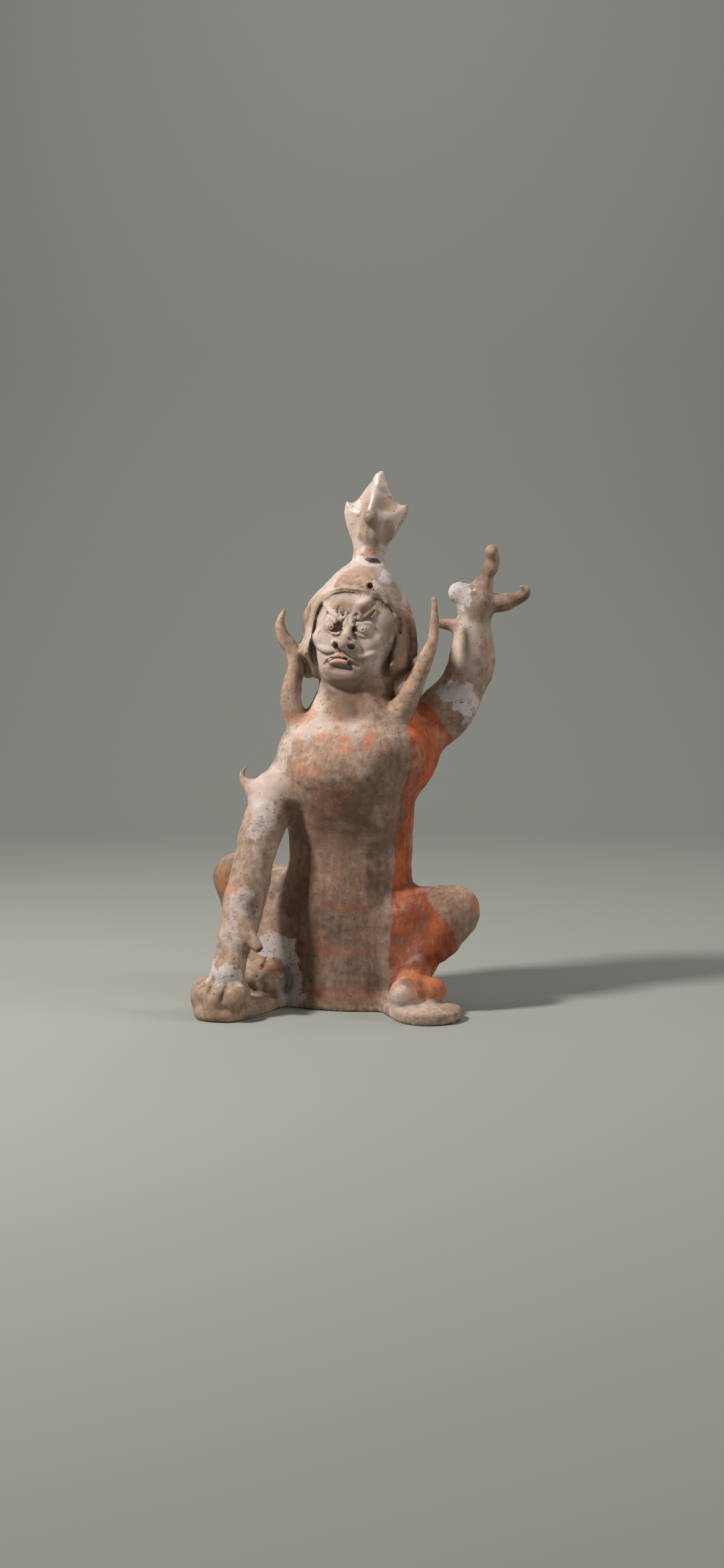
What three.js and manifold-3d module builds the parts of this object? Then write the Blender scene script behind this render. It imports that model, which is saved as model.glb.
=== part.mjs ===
// Seated tomb guardian beast of low-fired painted clay, built together with the low slab under it.
// Millimetres, +Z up. The origin is on the underside, below the middle of the trunk.
// The beast faces -Y and its left side is +X.
// The body is modelled as one smooth field of clay, meshed, thinned and cut flat below.

import * as THREE from "three";
import Module from "manifold-3d";

// Driving sizes
const FIGURE_HEIGHT = 638; // slab top to horn tip
const SLAB_THICKNESS = 22;
const SLAB_EDGE_RADIUS = 4;
const SLAB_BEVEL = { drop: 8, width: 38 }; // slope of the slab's top towards its rim
const SLAB_WELD = 18; // width of the soft joins inside the slab outline
const FOOT_FILLET = 14; // clay smoothed round the feet where they meet the slab

// Pose, proportions and carving are drawn on a figure this tall and follow FIGURE_HEIGHT.
const DRAWN_HEIGHT = 638;
const UNIT = FIGURE_HEIGHT / DRAWN_HEIGHT;

// Mesh fineness, in drawn millimetres
const BODY_STEP = 6.5;
const FACE_STEP = 2.8;
const BLOCK_SPAN = 26; // side of the blocks in which the surface is looked for
const BLOCK = Math.max(2, Math.round(BLOCK_SPAN / BODY_STEP));
const BLOCK_MARGIN = 1.25;
const TRIANGLES = 9300;
const FACE_WEIGHT = 5;
const FINE_BOX = { offset: [-1, -48, -7], size: [114, 50, 122] };
const CUT_DEPTH = 12;
const EDGE_CLEAR = 0.02; // least share of a grid edge on either side of a crossing
const KEY_SPAN = 2 ** 23; // more than the number of grid points, for keys made of two of them
const GROUND = { width: 800, depth: 100 };

// Limits for thinning the mesh and for laying it back on the surface
const MOST_NEIGHBOURS = 24;
const LONGEST_MOVE = 1.5;
const LEAST_FACING = 0.3;
const LENGTH_COST = 1e-5;
const CLEAR_QUADRIC = 1e-5;
const SETTLE = { reach: 0.2, cap: 0.8, steep: 0.1 };

// Trunk, from the slab to the neck: height, centre x, centre y, half width, half depth
const TRUNK = [
  [-40, 0, 4, 92, 92],
  [0, 0, 2, 84, 86],
  [40, 0, 0, 77, 79],
  [110, 0, 0, 76, 75],
  [172, 0, 1, 76, 67],
  [205, 1, -1, 78, 70],
  [238, 2.5, -5, 80.5, 80],
  [264, 5, -8, 86, 87],
  [286, 7, -8, 90, 85],
  [312, 8.5, -4, 86.5, 74],
  [334, 8, 3, 69, 58],
  [346, 8, 5, 60, 53],
  [356, 8, 5, 54, 49],
  [372, 9, 5, 48.5, 45],
  [420, 8, 9, 44, 37],
];
const TRUNK_SQUARENESS = 2.3;
const RUMP = { centre: [0, 42, 36], radii: [78, 62, 70] };
const HAUNCHES = [
  { centre: [60, -4, 50], radii: [56, 58, 66] },
  { centre: [-68, -2, 54], radii: [60, 58, 72] },
  { centre: [90, -44, 34], radii: [24, 29, 36] },
];
const SHOULDERS = [
  { centre: [-54, -14, 258], radii: [39, 40, 54] },
  { centre: [62, 12, 286], radii: [46, 44, 48] },
];
// Back: a low spine ridge and a short tail laid against the rump
const SPINE = [[4, 68, 320, 9], [2, 72, 250, 9], [0, 74, 160, 10], [0, 88, 90, 11]];
const TAIL = [[0, 92, 70, 12], [10, 100, 44, 11], [30, 98, 22, 10], [52, 88, 12, 9], [66, 74, 16, 6]];

// Limbs: x, y, height above the slab, radius
const THIGHS = [
  [[40, 12, 52, 60], [84, -8, 74, 47], [116, -16, 90, 36], [139.5, -20, 98, 29]],
  [[-40, 12, 60, 58], [-84, -8, 92, 46], [-120, -16, 118, 34], [-142, -21, 130, 28.5]],
];
const SHANKS = [
  [[138.5, -20, 97, 28.5], [129, -41, 68, 25], [108, -57, 44, 18], [104, -69, 24, 16.5], [105, -80, 8, 17]],
  [[-142, -21, 128, 27.5], [-130, -30, 88, 26], [-106, -42, 52, 22], [-90, -52, 26, 20], [-86, -66, 10, 19]],
];
const HIND_TOES = [
  { centre: [102, -93, 7], radii: [22, 30, 21] },
  { centre: [128, -75, 7], radii: [15, 24, 16] },
  { centre: [-99, -76, 14], radii: [17, 26, 18] },
  { centre: [-78, -76, 8], radii: [16, 24, 17] },
];
const HIND_CREASES = [
  [[122, -98, 20, 2], [120, -86, 27, 2.4], [117, -74, 32, 1.6]],
  [[-91, -92, 14, 1.6], [-88, -82, 24, 2.2], [-86, -68, 34, 1.6]],
];

const PLANTED_FORELEG = [
  [-54, -18, 258, 34],
  [-72, -48, 240, 33],
  [-83, -78, 214, 27],
  [-90, -101, 165, 24],
  [-95, -121, 118, 26],
  [-97, -135, 87, 23.5],
  [-102, -149, 57, 20],
  [-104, -160, 30, 21],
];
const PLANTED_PAW = [
  { centre: [-112, -150, 0], radii: [31, 38, 33] },
  { centre: [-136, -150, 2], radii: [16, 27, 23] },
  { centre: [-110, -165, -14], radii: [34, 28, 17] },
];
const PLANTED_TOES = [
  { centre: [-125, -174, 10], radii: [11, 13, 12] },
  { centre: [-107, -178, 6], radii: [13, 16, 15] },
  { centre: [-88, -172, 6], radii: [15, 20, 17] },
];
const TOE_GROOVES = [
  [[-116, -182, 18, 1.6], [-117, -192, 6, 2.4], [-118, -192, -8, 2]],
  [[-98, -182, 18, 1.8], [-99, -194, 4, 3], [-101, -195, -10, 2.4]],
];
const DEWCLAW = [[-98, -140, 88, 14], [-86, -146, 80, 10.5], [-76, -150, 73, 7.5], [-67, -152, 64, 5.5]];
const ELBOW_WEB = [[-70, -44, 250, 12], [-90, -52, 248, 9.6], [-110, -60, 250, 5.4]];
const ELBOW_THORN = [
  [-94, -66, 234, 16],
  [-108, -63, 246, 9],
  [-119, -59, 255, 5],
  [-122, -57, 263, 3.4],
  [-118.5, -56, 270, 2.6],
  [-112.5, -55, 272.5, 1.8],
];

const RAISED_ARM = [
  [60, 22, 298, 37],
  [86, 37, 316, 34.5],
  [109, 47, 338, 34.5],
  [123, 55, 357, 31],
  [131, 60, 375, 28],
  [135.5, 63, 392, 26.5],
  [139, 64, 415, 25],
  [141, 64, 438, 21.5],
  [143, 65, 460, 18.5],
];
const RAISED_PALM = { centre: [143, 65, 474], radii: [22, 17, 24] };
const RAISED_CLAWS = [
  [
    [148, 67, 484, 15], [153, 68, 498, 12.5], [157, 68, 508, 9.6],
    [162, 67, 517, 10.4], [166, 65, 528, 7.4], [165, 60, 538, 8],
  ],
  [
    [150, 67, 476, 15], [167, 72, 474, 11.4], [182, 75, 476, 11.6], [195, 75, 479, 8.2],
    [204, 73, 484, 7.4], [208, 69, 490, 5], [203, 66, 494, 3.4],
  ],
  [[138, 62, 476, 15], [131, 59, 482, 15], [125, 57, 487, 14]],
];
const WRIST_SPUR = [
  [138, 64, 445, 13],
  [125, 61, 446, 10],
  [111, 58, 447.5, 7.5],
  [100, 53, 449, 5],
  [89, 46, 452, 2.2],
];
const ARM_FLANGE = [
  [157, 75, 436, 4.5],
  [159, 80, 411, 6],
  [160, 82, 390, 4.5],
  [147, 77, 364, 5.5],
  [134, 72, 342, 4.5],
  [120, 64, 322, 5.5],
];

const WINGS = [
  [
    [-52, -26, 310, 18], [-60, -31, 332, 14], [-66, -33, 354, 13.5], [-64, -32, 378, 11.5],
    [-60, -31, 399, 9.5], [-65, -32, 417, 9], [-76, -36, 433, 8], [-79, -37, 449, 6], [-74, -35, 465, 3],
  ],
  [
    [54, -16, 308, 22], [65, -18, 328, 17.5], [75, -18, 349, 15], [86, -13, 374, 12.5],
    [98, -5, 402, 9.5], [105, 3, 429, 7.5], [106, 9, 454, 5.5], [104, 14, 478, 3],
  ],
];

// Head, in a frame of its own: x to its left, -y forward, z up
const HEAD = { centre: [5, 0, 436], yaw: 5, roll: 8, pitch: -6 };
const HOOD = [
  [-63, 4, 22, 38, 28],
  [-53, 5, 20, 57, 40],
  [-42, 4, 15, 68, 52],
  [-34, 4, 11, 76, 62],
  [-26, 4.5, 11, 74.5, 61],
  [-10, 4.5, 11, 69, 58],
  [10, 4, 10, 66, 57],
  [36, 3.5, 9, 62.5, 56],
  [58, 4, 8, 48, 48],
  [76, 4, 6, 34, 33],
  [92, 4, 5, 20, 20],
  [112, 3, 5, 16, 15],
];
const HOOD_SQUARENESS = 2.1;
const FACE_OPENING = { centre: [6.5, -10], half: [52.5, 57], squareness: 3, back: -19 };
// Raised rim beside the opening: its height, how far its crest is from the edge, and its width
const HOOD_RIM = { height: 2.6, middle: 4.5, width: 3.6, fadesOver: 20 };
const JAW_FLAP = [[-49, -11, -8, 4], [-46, -12, -24, 6], [-41, -12, -42, 8], [-38, -8, -56, 6]];
const HOOD_TIP = [[-60, 3, -34, 9.5], [-57, 3, -46, 9], [-51, 4, -54, 7.5]];
const SCAR_BED = { centre: [0, -30, 52], radii: [27, 9, 12] };
const HAIR_LOCK = [[24, -44, 62, 4.5], [31, -44, 56, 5.5], [39, -42, 49, 5], [44, -41, 42, 3.6]];
const BREAK_HOLE = [[20, -56, 57, 2.6], [19, -44, 60, 2.2]];
const EARS = [
  [[-57, -2, 28, 5], [-62, 0, 14, 6.5], [-62, 2, -2, 5]],
  [
    [56, -24, 29, 3.5], [61, -19, 33, 4.5], [67, -9, 29, 5.5],
    [71, -4, 19, 5.5], [75, -1, 4, 5], [78, 0, -14, 4],
  ],
];
const EAR_HOLLOW = [[59, -24, 24, 2.4], [61, -22, 17, 4], [61, -21, 9, 2.6]];

// Base form of the face: height, centre x, centre y, half width, half depth
const FACE_BASE = [
  [-76, 6, -10, 9, 9],
  [-72, 6, -9, 20, 18],
  [-66, 6, -8, 29.5, 27],
  [-58, 6, -7.5, 36.5, 35],
  [-47, 7, -7, 43.5, 41.5],
  [-24, 7, -6, 50, 46],
  [0, 6.5, -6, 53, 48],
  [10, 6.5, -6, 53.5, 47.5],
  [24, 6.5, -6, 52, 44.5],
  [35, 6, -5.5, 49, 41.5],
  [44, 5.5, -5, 46, 38],
  [56, 5, -4, 40, 33],
  [66, 4.5, -2, 28, 26],
];
const FACE_SQUARENESS = 2.2;
// Rolls on the face: across, up, lift of the middle over the base form, radius
const NOSE = [
  [3.5, 7, 1, 3], [4.5, 1, 2.5, 3.6], [4.5, -5.5, 3.5, 5.2], [3.5, -11.5, 4, 7.2], [2.5, -17, 4.5, 8],
];
const EYELIDS = [
  [
    [-28, 7, -0.5, 1.4], [-25, 1, 0, 1.8], [-20, -3.5, 0, 2],
    [-14, -6.5, 0.5, 2], [-8, -6, 0.5, 2], [-2, 1, 1.5, 1.3],
  ],
  [[-26, 8, 1, 1.5], [-25, 13, 1.5, 2.4], [-19.5, 11.5, 2.5, 2.8], [-14, 8, 3, 2.6], [-11, 5, 2.5, 1.6]],
  [[14, -2, 0.5, 1.4], [20, -4.5, 0, 1.9], [27, -4, 0, 2], [32.5, 0, -0.5, 1.8], [35.5, 5.5, -0.5, 1.2]],
  [[14.5, 8, 2, 1.8], [19.5, 9.5, 2.5, 2.2], [25.5, 11.5, 2, 2.8], [30.5, 11, 1.5, 2.6], [33.5, 7, 0.5, 1.6]],
];
const BROWS = [
  [
    [-36, 32, -2.5, 2.5], [-30, 27, -1, 3.8], [-23, 22, 0, 5],
    [-16.5, 17.5, 1, 5.4], [-11, 14, 1.5, 5.2], [-5, 12, 2, 3.6],
  ],
  [[10, 19.5, 1, 6], [13, 27, 1, 7.6], [17, 33, -0.5, 7.2], [20.5, 38, -2, 5], [24, 41, -3.5, 2.5]],
  [[7, 15.5, 1.5, 3.4], [14.5, 15, 1.5, 4.6], [21, 18, 1, 4.6], [25, 24, -0.5, 4], [29, 30, -1.5, 2.6]],
];
const FROWN = [
  [[2, 17.5, 3, 1.2], [0.5, 11.5, 3.5, 1.9], [-1.5, 5.5, 3, 1.8]],
  [[2.5, 17.5, 3, 1.2], [6.5, 11.5, 3.5, 1.8], [11.5, 5, 3, 1.6]],
];
const MOUSTACHE = [
  [
    [-5, -26, 0.5, 1.8], [-11.5, -27, 0.5, 3], [-18, -27.5, 0.5, 3.8],
    [-25, -27, 0.5, 3.6], [-32, -24.5, 0, 2.6], [-38, -20.5, 0, 1],
  ],
  [
    [8.5, -26, 0.5, 1.8], [15, -27, 0, 2.8], [22, -28.5, 0, 3.3], [29, -28, 0, 3.3],
    [35.5, -24.5, 0, 2.9], [40.5, -20, 0, 2.3], [44.5, -15, 0, 1.6], [47, -10.5, 0, 1],
  ],
];
const MOUTH = [
  [-22, -45, 0.5, 1.5], [-16, -40.5, 0, 2.2], [-10.5, -37, -0.5, 2.6], [-3.5, -35, -0.5, 2.7],
  [5, -35.5, -0.5, 2.6], [13, -38.5, 0, 2.2], [22, -42, 0.5, 1.6],
];
const LIP_BAND = [
  [-17.5, -37.5, 0, 1.6], [-10.5, -34, 0, 2], [-3.5, -32, 0.5, 2.2], [5, -32.5, 0, 2], [13.5, -35.5, 0, 1.6],
];
const LIPS = [
  [[-8.5, -34, 1.5, 1.5], [-3, -31, 1.5, 2.1], [2.5, -32.5, 1.5, 1.5]],
  [[-15, -43, 0.5, 1.5], [-9, -40, 1, 2.5], [-3, -38.5, 1, 3], [4.5, -38.5, 1, 2.7], [11, -41, 0.5, 1.6]],
];
const LIP_HOLLOW = [[-7.5, -46.5, 1.5, 3], [1.5, -45.5, 1.5, 3.8], [11, -45, 1.5, 3.2]];
// Lumps on the face: across, up, lift over the base form, then half width, half depth, half height
const CHIN_CHEEKS_AND_BROW = [
  [-6, -50, -8, 15, 11, 8],
  [6, -55, -13, 25, 17, 12],
  [-31, -13, -11, 12, 10.5, 12],
  [33, -8, -9, 15, 11, 13],
  [-25, 36, -9, 13, 9.5, 9],
  [14, 40, -7.5, 13, 9.5, 8],
  [-17, 22, -4, 8, 7, 9],
];
const EYE_SOCKETS = [
  [-15.5, 3.5, 1.5, 12, 7.5, 11.5],
  [23, 5, 1.5, 14, 7, 9.5],
  [-7, 3, 1, 5, 6.5, 7],
  [12.5, 4, 1, 5, 7.5, 8],
];
const EYEBALLS = [[-20, 4, -4.5, 9.5, 8.5, 10], [21.5, 5, -4.2, 11.5, 8.5, 8.5]];
const PUPILS = [[-18.5, 1.5, 3.6, 4.6, 2.4, 4.6], [21.5, 4, 3.6, 4.6, 2.4, 4.6]];
const BROW_CURLS = [[-4.5, 17.5, 3.5, 5.5, 3, 6], [12.2, 18.5, 5.5, 6, 3, 6]];
const NOSTRIL_WINGS = [[-8.5, -17.5, 2.5, 6.8, 7.2, 5.8], [11, -16, 2, 8.4, 7.2, 6]];
const NOSTRILS = [[-7.5, -20.5, 8, 3.5, 10, 3.3], [11.5, -19.8, 8, 4.6, 10, 3.1]];

// Horn, in the head's frame: outlines above its waist as height and half width, left and right
const HORN_WAIST = { x: 2, y: 5, z: 94 };
const HORN_LEFT = [
  [-6, 16.5], [10, 18], [24, 23], [40, 31], [54, 36], [64, 38], [72.5, 37.5], [71, 30.5],
  [74.5, 23.5], [81, 18.5], [89, 13.5], [100, 6.5], [109.5, 0.5],
];
const HORN_RIGHT = [
  [-6, 16.5], [10, 18], [24, 24], [40, 32.2], [54, 37.4], [62, 38.6], [68, 38], [66.5, 30.5],
  [71, 24], [79, 18.5], [88, 13.5], [99, 6.5], [109.5, 0.5],
];
const HORN_EDGE = 3.2;
const HORN_SLOPE = 0.42;
const HORN_ROUND = 1;
const HORN_NECK = [[3, 5, 70, 22], [3, 5, 90, 17], [2, 5, 110, 16], [2, 5, 130, 13]];
const HORN_RIDGE = [
  [2, -5, 126, 8], [2, -6, 146, 9], [1.5, -3, 168, 6.5], [1, 2, 186, 4], [0.5, 4, 195, 2.2],
];
const HORN_HOLLOW = { centre: [16, -20, 158], radii: [10, 11, 11] };
const HORN_GROOVE = [[4, -19, 132, 2.4], [5, -17, 118, 3], [6, -17, 104, 2.2]];
const HORN_PELLET = { centre: [2, -14, 142], radii: [9, 8, 9] };
const HORN_SLOT = [[5, -16, 90, 3.2], [24, -4, 93, 3.2]];

// Slab outline from above: the middle, then the lobes under the feet
const SLAB_MIDDLE = { centre: [0, 12], radii: [104, 92] };
const SLAB_LOBES = [
  { from: [-95, -70], to: [-108, -146], radius: 34 },
  { from: [85, -40], to: [129, -99], radius: 39.5 },
  { from: [-92, -30], to: [-103, -72], radius: 38 },
];

// Widths of the soft joins between parts
const JOIN = { body: 22, limb: 14, toe: 9, small: 6, face: 4, fine: 2.2, cut: 2, sharp: 1.4 };

const DEGREE = Math.PI / 180;
const clamp = (value, low, high) => Math.min(Math.max(value, low), high);
const mix = (a, b, t) => a + (b - a) * t;

// Smooth union of two distances, with a fillet about k wide
function weld(a, b, k) {
  const h = Math.max(k - Math.abs(a - b), 0) / k;
  return Math.min(a, b) - h * h * k * 0.25;
}

// Distance to an ellipsoid, good near its surface
function ellipsoid({ centre, radii }) {
  const [cx, cy, cz] = centre;
  const [rx, ry, rz] = radii;
  const distance = (x, y, z) => {
    const ax = (x - cx) / rx;
    const ay = (y - cy) / ry;
    const az = (z - cz) / rz;
    const k0 = Math.hypot(ax, ay, az);
    const k1 = Math.hypot(ax / rx, ay / ry, az / rz);
    return k1 < 1e-9 ? -Math.min(rx, ry, rz) : (k0 * (k0 - 1)) / k1;
  };
  const box = [cx - rx, cy - ry, cz - rz, cx + rx, cy + ry, cz + rz];
  return { distance, box };
}

// Round tube whose radius changes along a smooth curve through the points
function tube(points) {
  const curve = new THREE.CatmullRomCurve3(points.map(([x, y, z]) => new THREE.Vector3(x, y, z)));
  curve.curveType = "catmullrom";
  const spans = points.length - 1;
  const steps = spans * 3;
  const nodes = [];
  for (let i = 0; i <= steps; i++) {
    const t = i / steps;
    const place = curve.getPoint(t);
    const span = Math.min(Math.floor(t * spans), spans - 1);
    const radius = mix(points[span][3], points[span + 1][3], t * spans - span);
    nodes.push([place.x, place.y, place.z, radius]);
  }
  const distance = (x, y, z) => {
    let best = Infinity;
    for (let i = 0; i < steps; i++) {
      const [ax, ay, az, ar] = nodes[i];
      const [bx, by, bz, br] = nodes[i + 1];
      const dx = bx - ax;
      const dy = by - ay;
      const dz = bz - az;
      const along = (x - ax) * dx + (y - ay) * dy + (z - az) * dz;
      const t = clamp(along / (dx * dx + dy * dy + dz * dz), 0, 1);
      const gap = Math.hypot(x - ax - dx * t, y - ay - dy * t, z - az - dz * t) - mix(ar, br, t);
      if (gap < best) best = gap;
    }
    return best;
  };
  const box = [Infinity, Infinity, Infinity, -Infinity, -Infinity, -Infinity];
  for (const node of nodes) {
    for (let axis = 0; axis < 3; axis++) {
      box[axis] = Math.min(box[axis], node[axis] - node[3]);
      box[axis + 3] = Math.max(box[axis + 3], node[axis] + node[3]);
    }
  }
  return { distance, box };
}

// Row of a table at a height, eased between its rows
function rowAt(rows, height) {
  const last = rows.length - 1;
  if (height <= rows[0][0]) return rows[0];
  if (height >= rows[last][0]) return rows[last];
  let i = 0;
  while (rows[i + 1][0] < height) i++;
  const t = (height - rows[i][0]) / (rows[i + 1][0] - rows[i][0]);
  const before = rows[Math.max(i - 1, 0)];
  const after = rows[Math.min(i + 2, last)];
  const span = rows[i + 1][0] - rows[i][0];
  return rows[i].map((value, column) => {
    const next = rows[i + 1][column];
    const slopeIn = ((next - before[column]) / (rows[i + 1][0] - before[0])) * span;
    const slopeOut = ((after[column] - value) / (after[0] - rows[i][0])) * span;
    const t2 = t * t;
    const t3 = t2 * t;
    const eased = value * (2 * t3 - 3 * t2 + 1) + next * (3 * t2 - 2 * t3);
    return eased + slopeIn * (t3 - 2 * t2 + t) + slopeOut * (t3 - t2);
  });
}

// Upright body whose oval section changes with height, looked up in millimetre slices
function loft(rows, squareness) {
  const low = rows[0][0];
  const high = rows[rows.length - 1][0];
  const slices = [];
  for (let z = low; z <= high + 1; z++) {
    const [, cx, cy, halfWidth, halfDepth] = rowAt(rows, z);
    const below = rowAt(rows, z - 2);
    const above = rowAt(rows, z + 2);
    const flare = Math.max(Math.abs(above[3] - below[3]), Math.abs(above[4] - below[4])) / 4;
    slices.push([cx, cy, halfWidth, halfDepth, 1 / Math.hypot(1, flare)]);
  }
  const distance = (x, y, z) => {
    const at = clamp(z - low, 0, slices.length - 1.001);
    const first = slices[Math.floor(at)];
    const second = slices[Math.floor(at) + 1];
    const t = at - Math.floor(at);
    const across = Math.abs(x - mix(first[0], second[0], t)) + 1e-6;
    const deep = Math.abs(y - mix(first[1], second[1], t)) + 1e-6;
    const a = across / mix(first[2], second[2], t);
    const b = deep / mix(first[3], second[3], t);
    const size = (a ** squareness + b ** squareness) ** (1 / squareness);
    const side = Math.hypot(across, deep) * (1 - 1 / size);
    return Math.max(side * mix(first[4], second[4], t), low - z, z - high);
  };
  const reaches = rows.flatMap(([, cx, cy, wide, deep]) => [Math.abs(cx) + wide, Math.abs(cy) + deep]);
  const reach = Math.max(...reaches);
  return { distance, box: [-reach, -reach, low, reach, reach, high] };
}

// Distance in a plane from a point to a closed outline, negative inside
function outlineDistance(outline, u, v) {
  let best = Infinity;
  let inside = false;
  for (let i = 0, j = outline.length - 1; i < outline.length; j = i++) {
    const [ui, vi] = outline[i];
    const [uj, vj] = outline[j];
    const du = uj - ui;
    const dv = vj - vi;
    const t = clamp(((u - ui) * du + (v - vi) * dv) / (du * du + dv * dv), 0, 1);
    best = Math.min(best, Math.hypot(u - ui - du * t, v - vi - dv * t));
    if (vi > v !== vj > v && u < (du * (v - vi)) / dv + ui) inside = !inside;
  }
  return inside ? -best : best;
}

// Horn: a plate in the outline's shape that grows thicker towards its middle, like a bud
function hornPlate() {
  const left = HORN_LEFT.map(([height, half]) => [HORN_WAIST.x + half, HORN_WAIST.z + height]);
  const right = HORN_RIGHT.map(([height, half]) => [HORN_WAIST.x - half, HORN_WAIST.z + height]).reverse();
  const outline = [...left, ...right];
  const steep = Math.hypot(1, HORN_SLOPE);
  const distance = (x, y, z) => {
    const flat = outlineDistance(outline, x, z);
    const off = Math.abs(y - HORN_WAIST.y) - HORN_EDGE;
    const inner = Math.max((off + HORN_SLOPE * flat) / steep, flat);
    return (flat > 0 ? Math.hypot(flat, Math.max(off, 0)) : inner) - HORN_ROUND;
  };
  const across = outline.map(([x]) => x);
  const up = outline.map(([, z]) => z);
  const thick = HORN_EDGE + (HORN_SLOPE * (Math.max(...across) - Math.min(...across))) / 2;
  const low = [Math.min(...across), HORN_WAIST.y - thick, Math.min(...up)];
  const high = [Math.max(...across), HORN_WAIST.y + thick, Math.max(...up)];
  const box = [...low.map((value) => value - HORN_ROUND), ...high.map((value) => value + HORN_ROUND)];
  return { distance, box };
}

// Front of the face's base form at a place across and up
function faceFront(across, up) {
  const [, cx, cy, halfWidth, halfDepth] = rowAt(FACE_BASE, up);
  const share = Math.min(Math.abs(across - cx) / halfWidth, 1);
  return cy - halfDepth * (1 - share ** FACE_SQUARENESS) ** (1 / FACE_SQUARENESS);
}

// A roll and a lump laid on the face
const onFace = (across, up, lift) => [across, faceFront(across, up) - lift, up];
const roll = (rows) => tube(rows.map(([across, up, lift, radius]) => [...onFace(across, up, lift), radius]));
const lump = ([across, up, lift, ...radii]) => ellipsoid({ centre: onFace(across, up, lift), radii });

// Shapes of the head carried into the figure's frame
const headTurn = new THREE.Matrix4().makeRotationZ(HEAD.yaw * DEGREE);
headTurn.multiply(new THREE.Matrix4().makeRotationY(HEAD.roll * DEGREE));
headTurn.multiply(new THREE.Matrix4().makeRotationX(HEAD.pitch * DEGREE));
headTurn.setPosition(...HEAD.centre);
const headUnturn = headTurn.clone().invert();

function onHead({ distance, box }) {
  const m = headUnturn.elements;
  const placed = (x, y, z) => distance(
    m[0] * x + m[4] * y + m[8] * z + m[12],
    m[1] * x + m[5] * y + m[9] * z + m[13],
    m[2] * x + m[6] * y + m[10] * z + m[14],
  );
  const bounds = new THREE.Box3(new THREE.Vector3(...box.slice(0, 3)), new THREE.Vector3(...box.slice(3)));
  bounds.applyMatrix4(headTurn);
  return { distance: placed, box: [...bounds.min.toArray(), ...bounds.max.toArray()] };
}

// Hood of hair with a raised rim beside the upright oval that it leaves open for the face
function openHood() {
  const { centre, half, squareness, back } = FACE_OPENING;
  const hood = loft(HOOD, HOOD_SQUARENESS);
  const distance = (x, y, z) => {
    const across = Math.abs(x - centre[0]) + 1e-6;
    const tall = Math.abs(z - centre[1]) + 1e-6;
    const size = ((across / half[0]) ** squareness + (tall / half[1]) ** squareness) ** (1 / squareness);
    const aside = Math.hypot(across, tall) * (1 - 1 / size);
    const crest = Math.exp(-(((aside - HOOD_RIM.middle) / HOOD_RIM.width) ** 2));
    const rim = HOOD_RIM.height * crest * clamp(-y / HOOD_RIM.fadesOver, 0, 1);
    return Math.max(hood.distance(x, y, z) - rim, -Math.max(aside, y - back));
  };
  const box = hood.box.map((value, at) => value + (at < 3 ? -HOOD_RIM.height : HOOD_RIM.height));
  return { distance, box };
}

// The box round several boxes
function around(boxes) {
  const low = [0, 1, 2].map((axis) => Math.min(...boxes.map((box) => box[axis])));
  const high = [3, 4, 5].map((axis) => Math.max(...boxes.map((box) => box[axis])));
  return [...low, ...high];
}

// Slab: the outline from above, its top sloping to a rounded rim. It runs on below the cut.
const underside = -SLAB_THICKNESS / UNIT;
function slab() {
  const { centre, radii } = SLAB_MIDDLE;
  const lobes = SLAB_LOBES.map(({ from, to, radius }) => tube([[...from, 0, radius], [...to, 0, radius]]));
  const distance = (x, y, z) => {
    const size = Math.max(Math.hypot((x - centre[0]) / radii[0], (y - centre[1]) / radii[1]), 1e-6);
    let flat = Math.hypot(x - centre[0], y - centre[1]) * (1 - 1 / size);
    for (const lobe of lobes) flat = weld(flat, lobe.distance(x, y, 0), SLAB_WELD);
    const edge = SLAB_EDGE_RADIUS / UNIT;
    const drop = (SLAB_BEVEL.drop / UNIT) * clamp(1 + flat / SLAB_BEVEL.width, 0, 1);
    const out = flat + edge;
    const over = z + drop + edge;
    return Math.min(Math.max(out, over), 0) + Math.hypot(Math.max(out, 0), Math.max(over, 0)) - edge;
  };
  const middle = ellipsoid({ centre: [...centre, 0], radii: [...radii, 0] }).box;
  const [x0, y0, , x1, y1] = around([middle, ...lobes.map(({ box }) => box)]);
  return { distance, box: [x0, y0, underside - CUT_DEPTH, x1, y1, 0] };
}

const add = (shape, join) => ({ ...shape, join, cuts: false });
const cut = (shape, join) => ({ ...shape, join, cuts: true });

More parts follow.
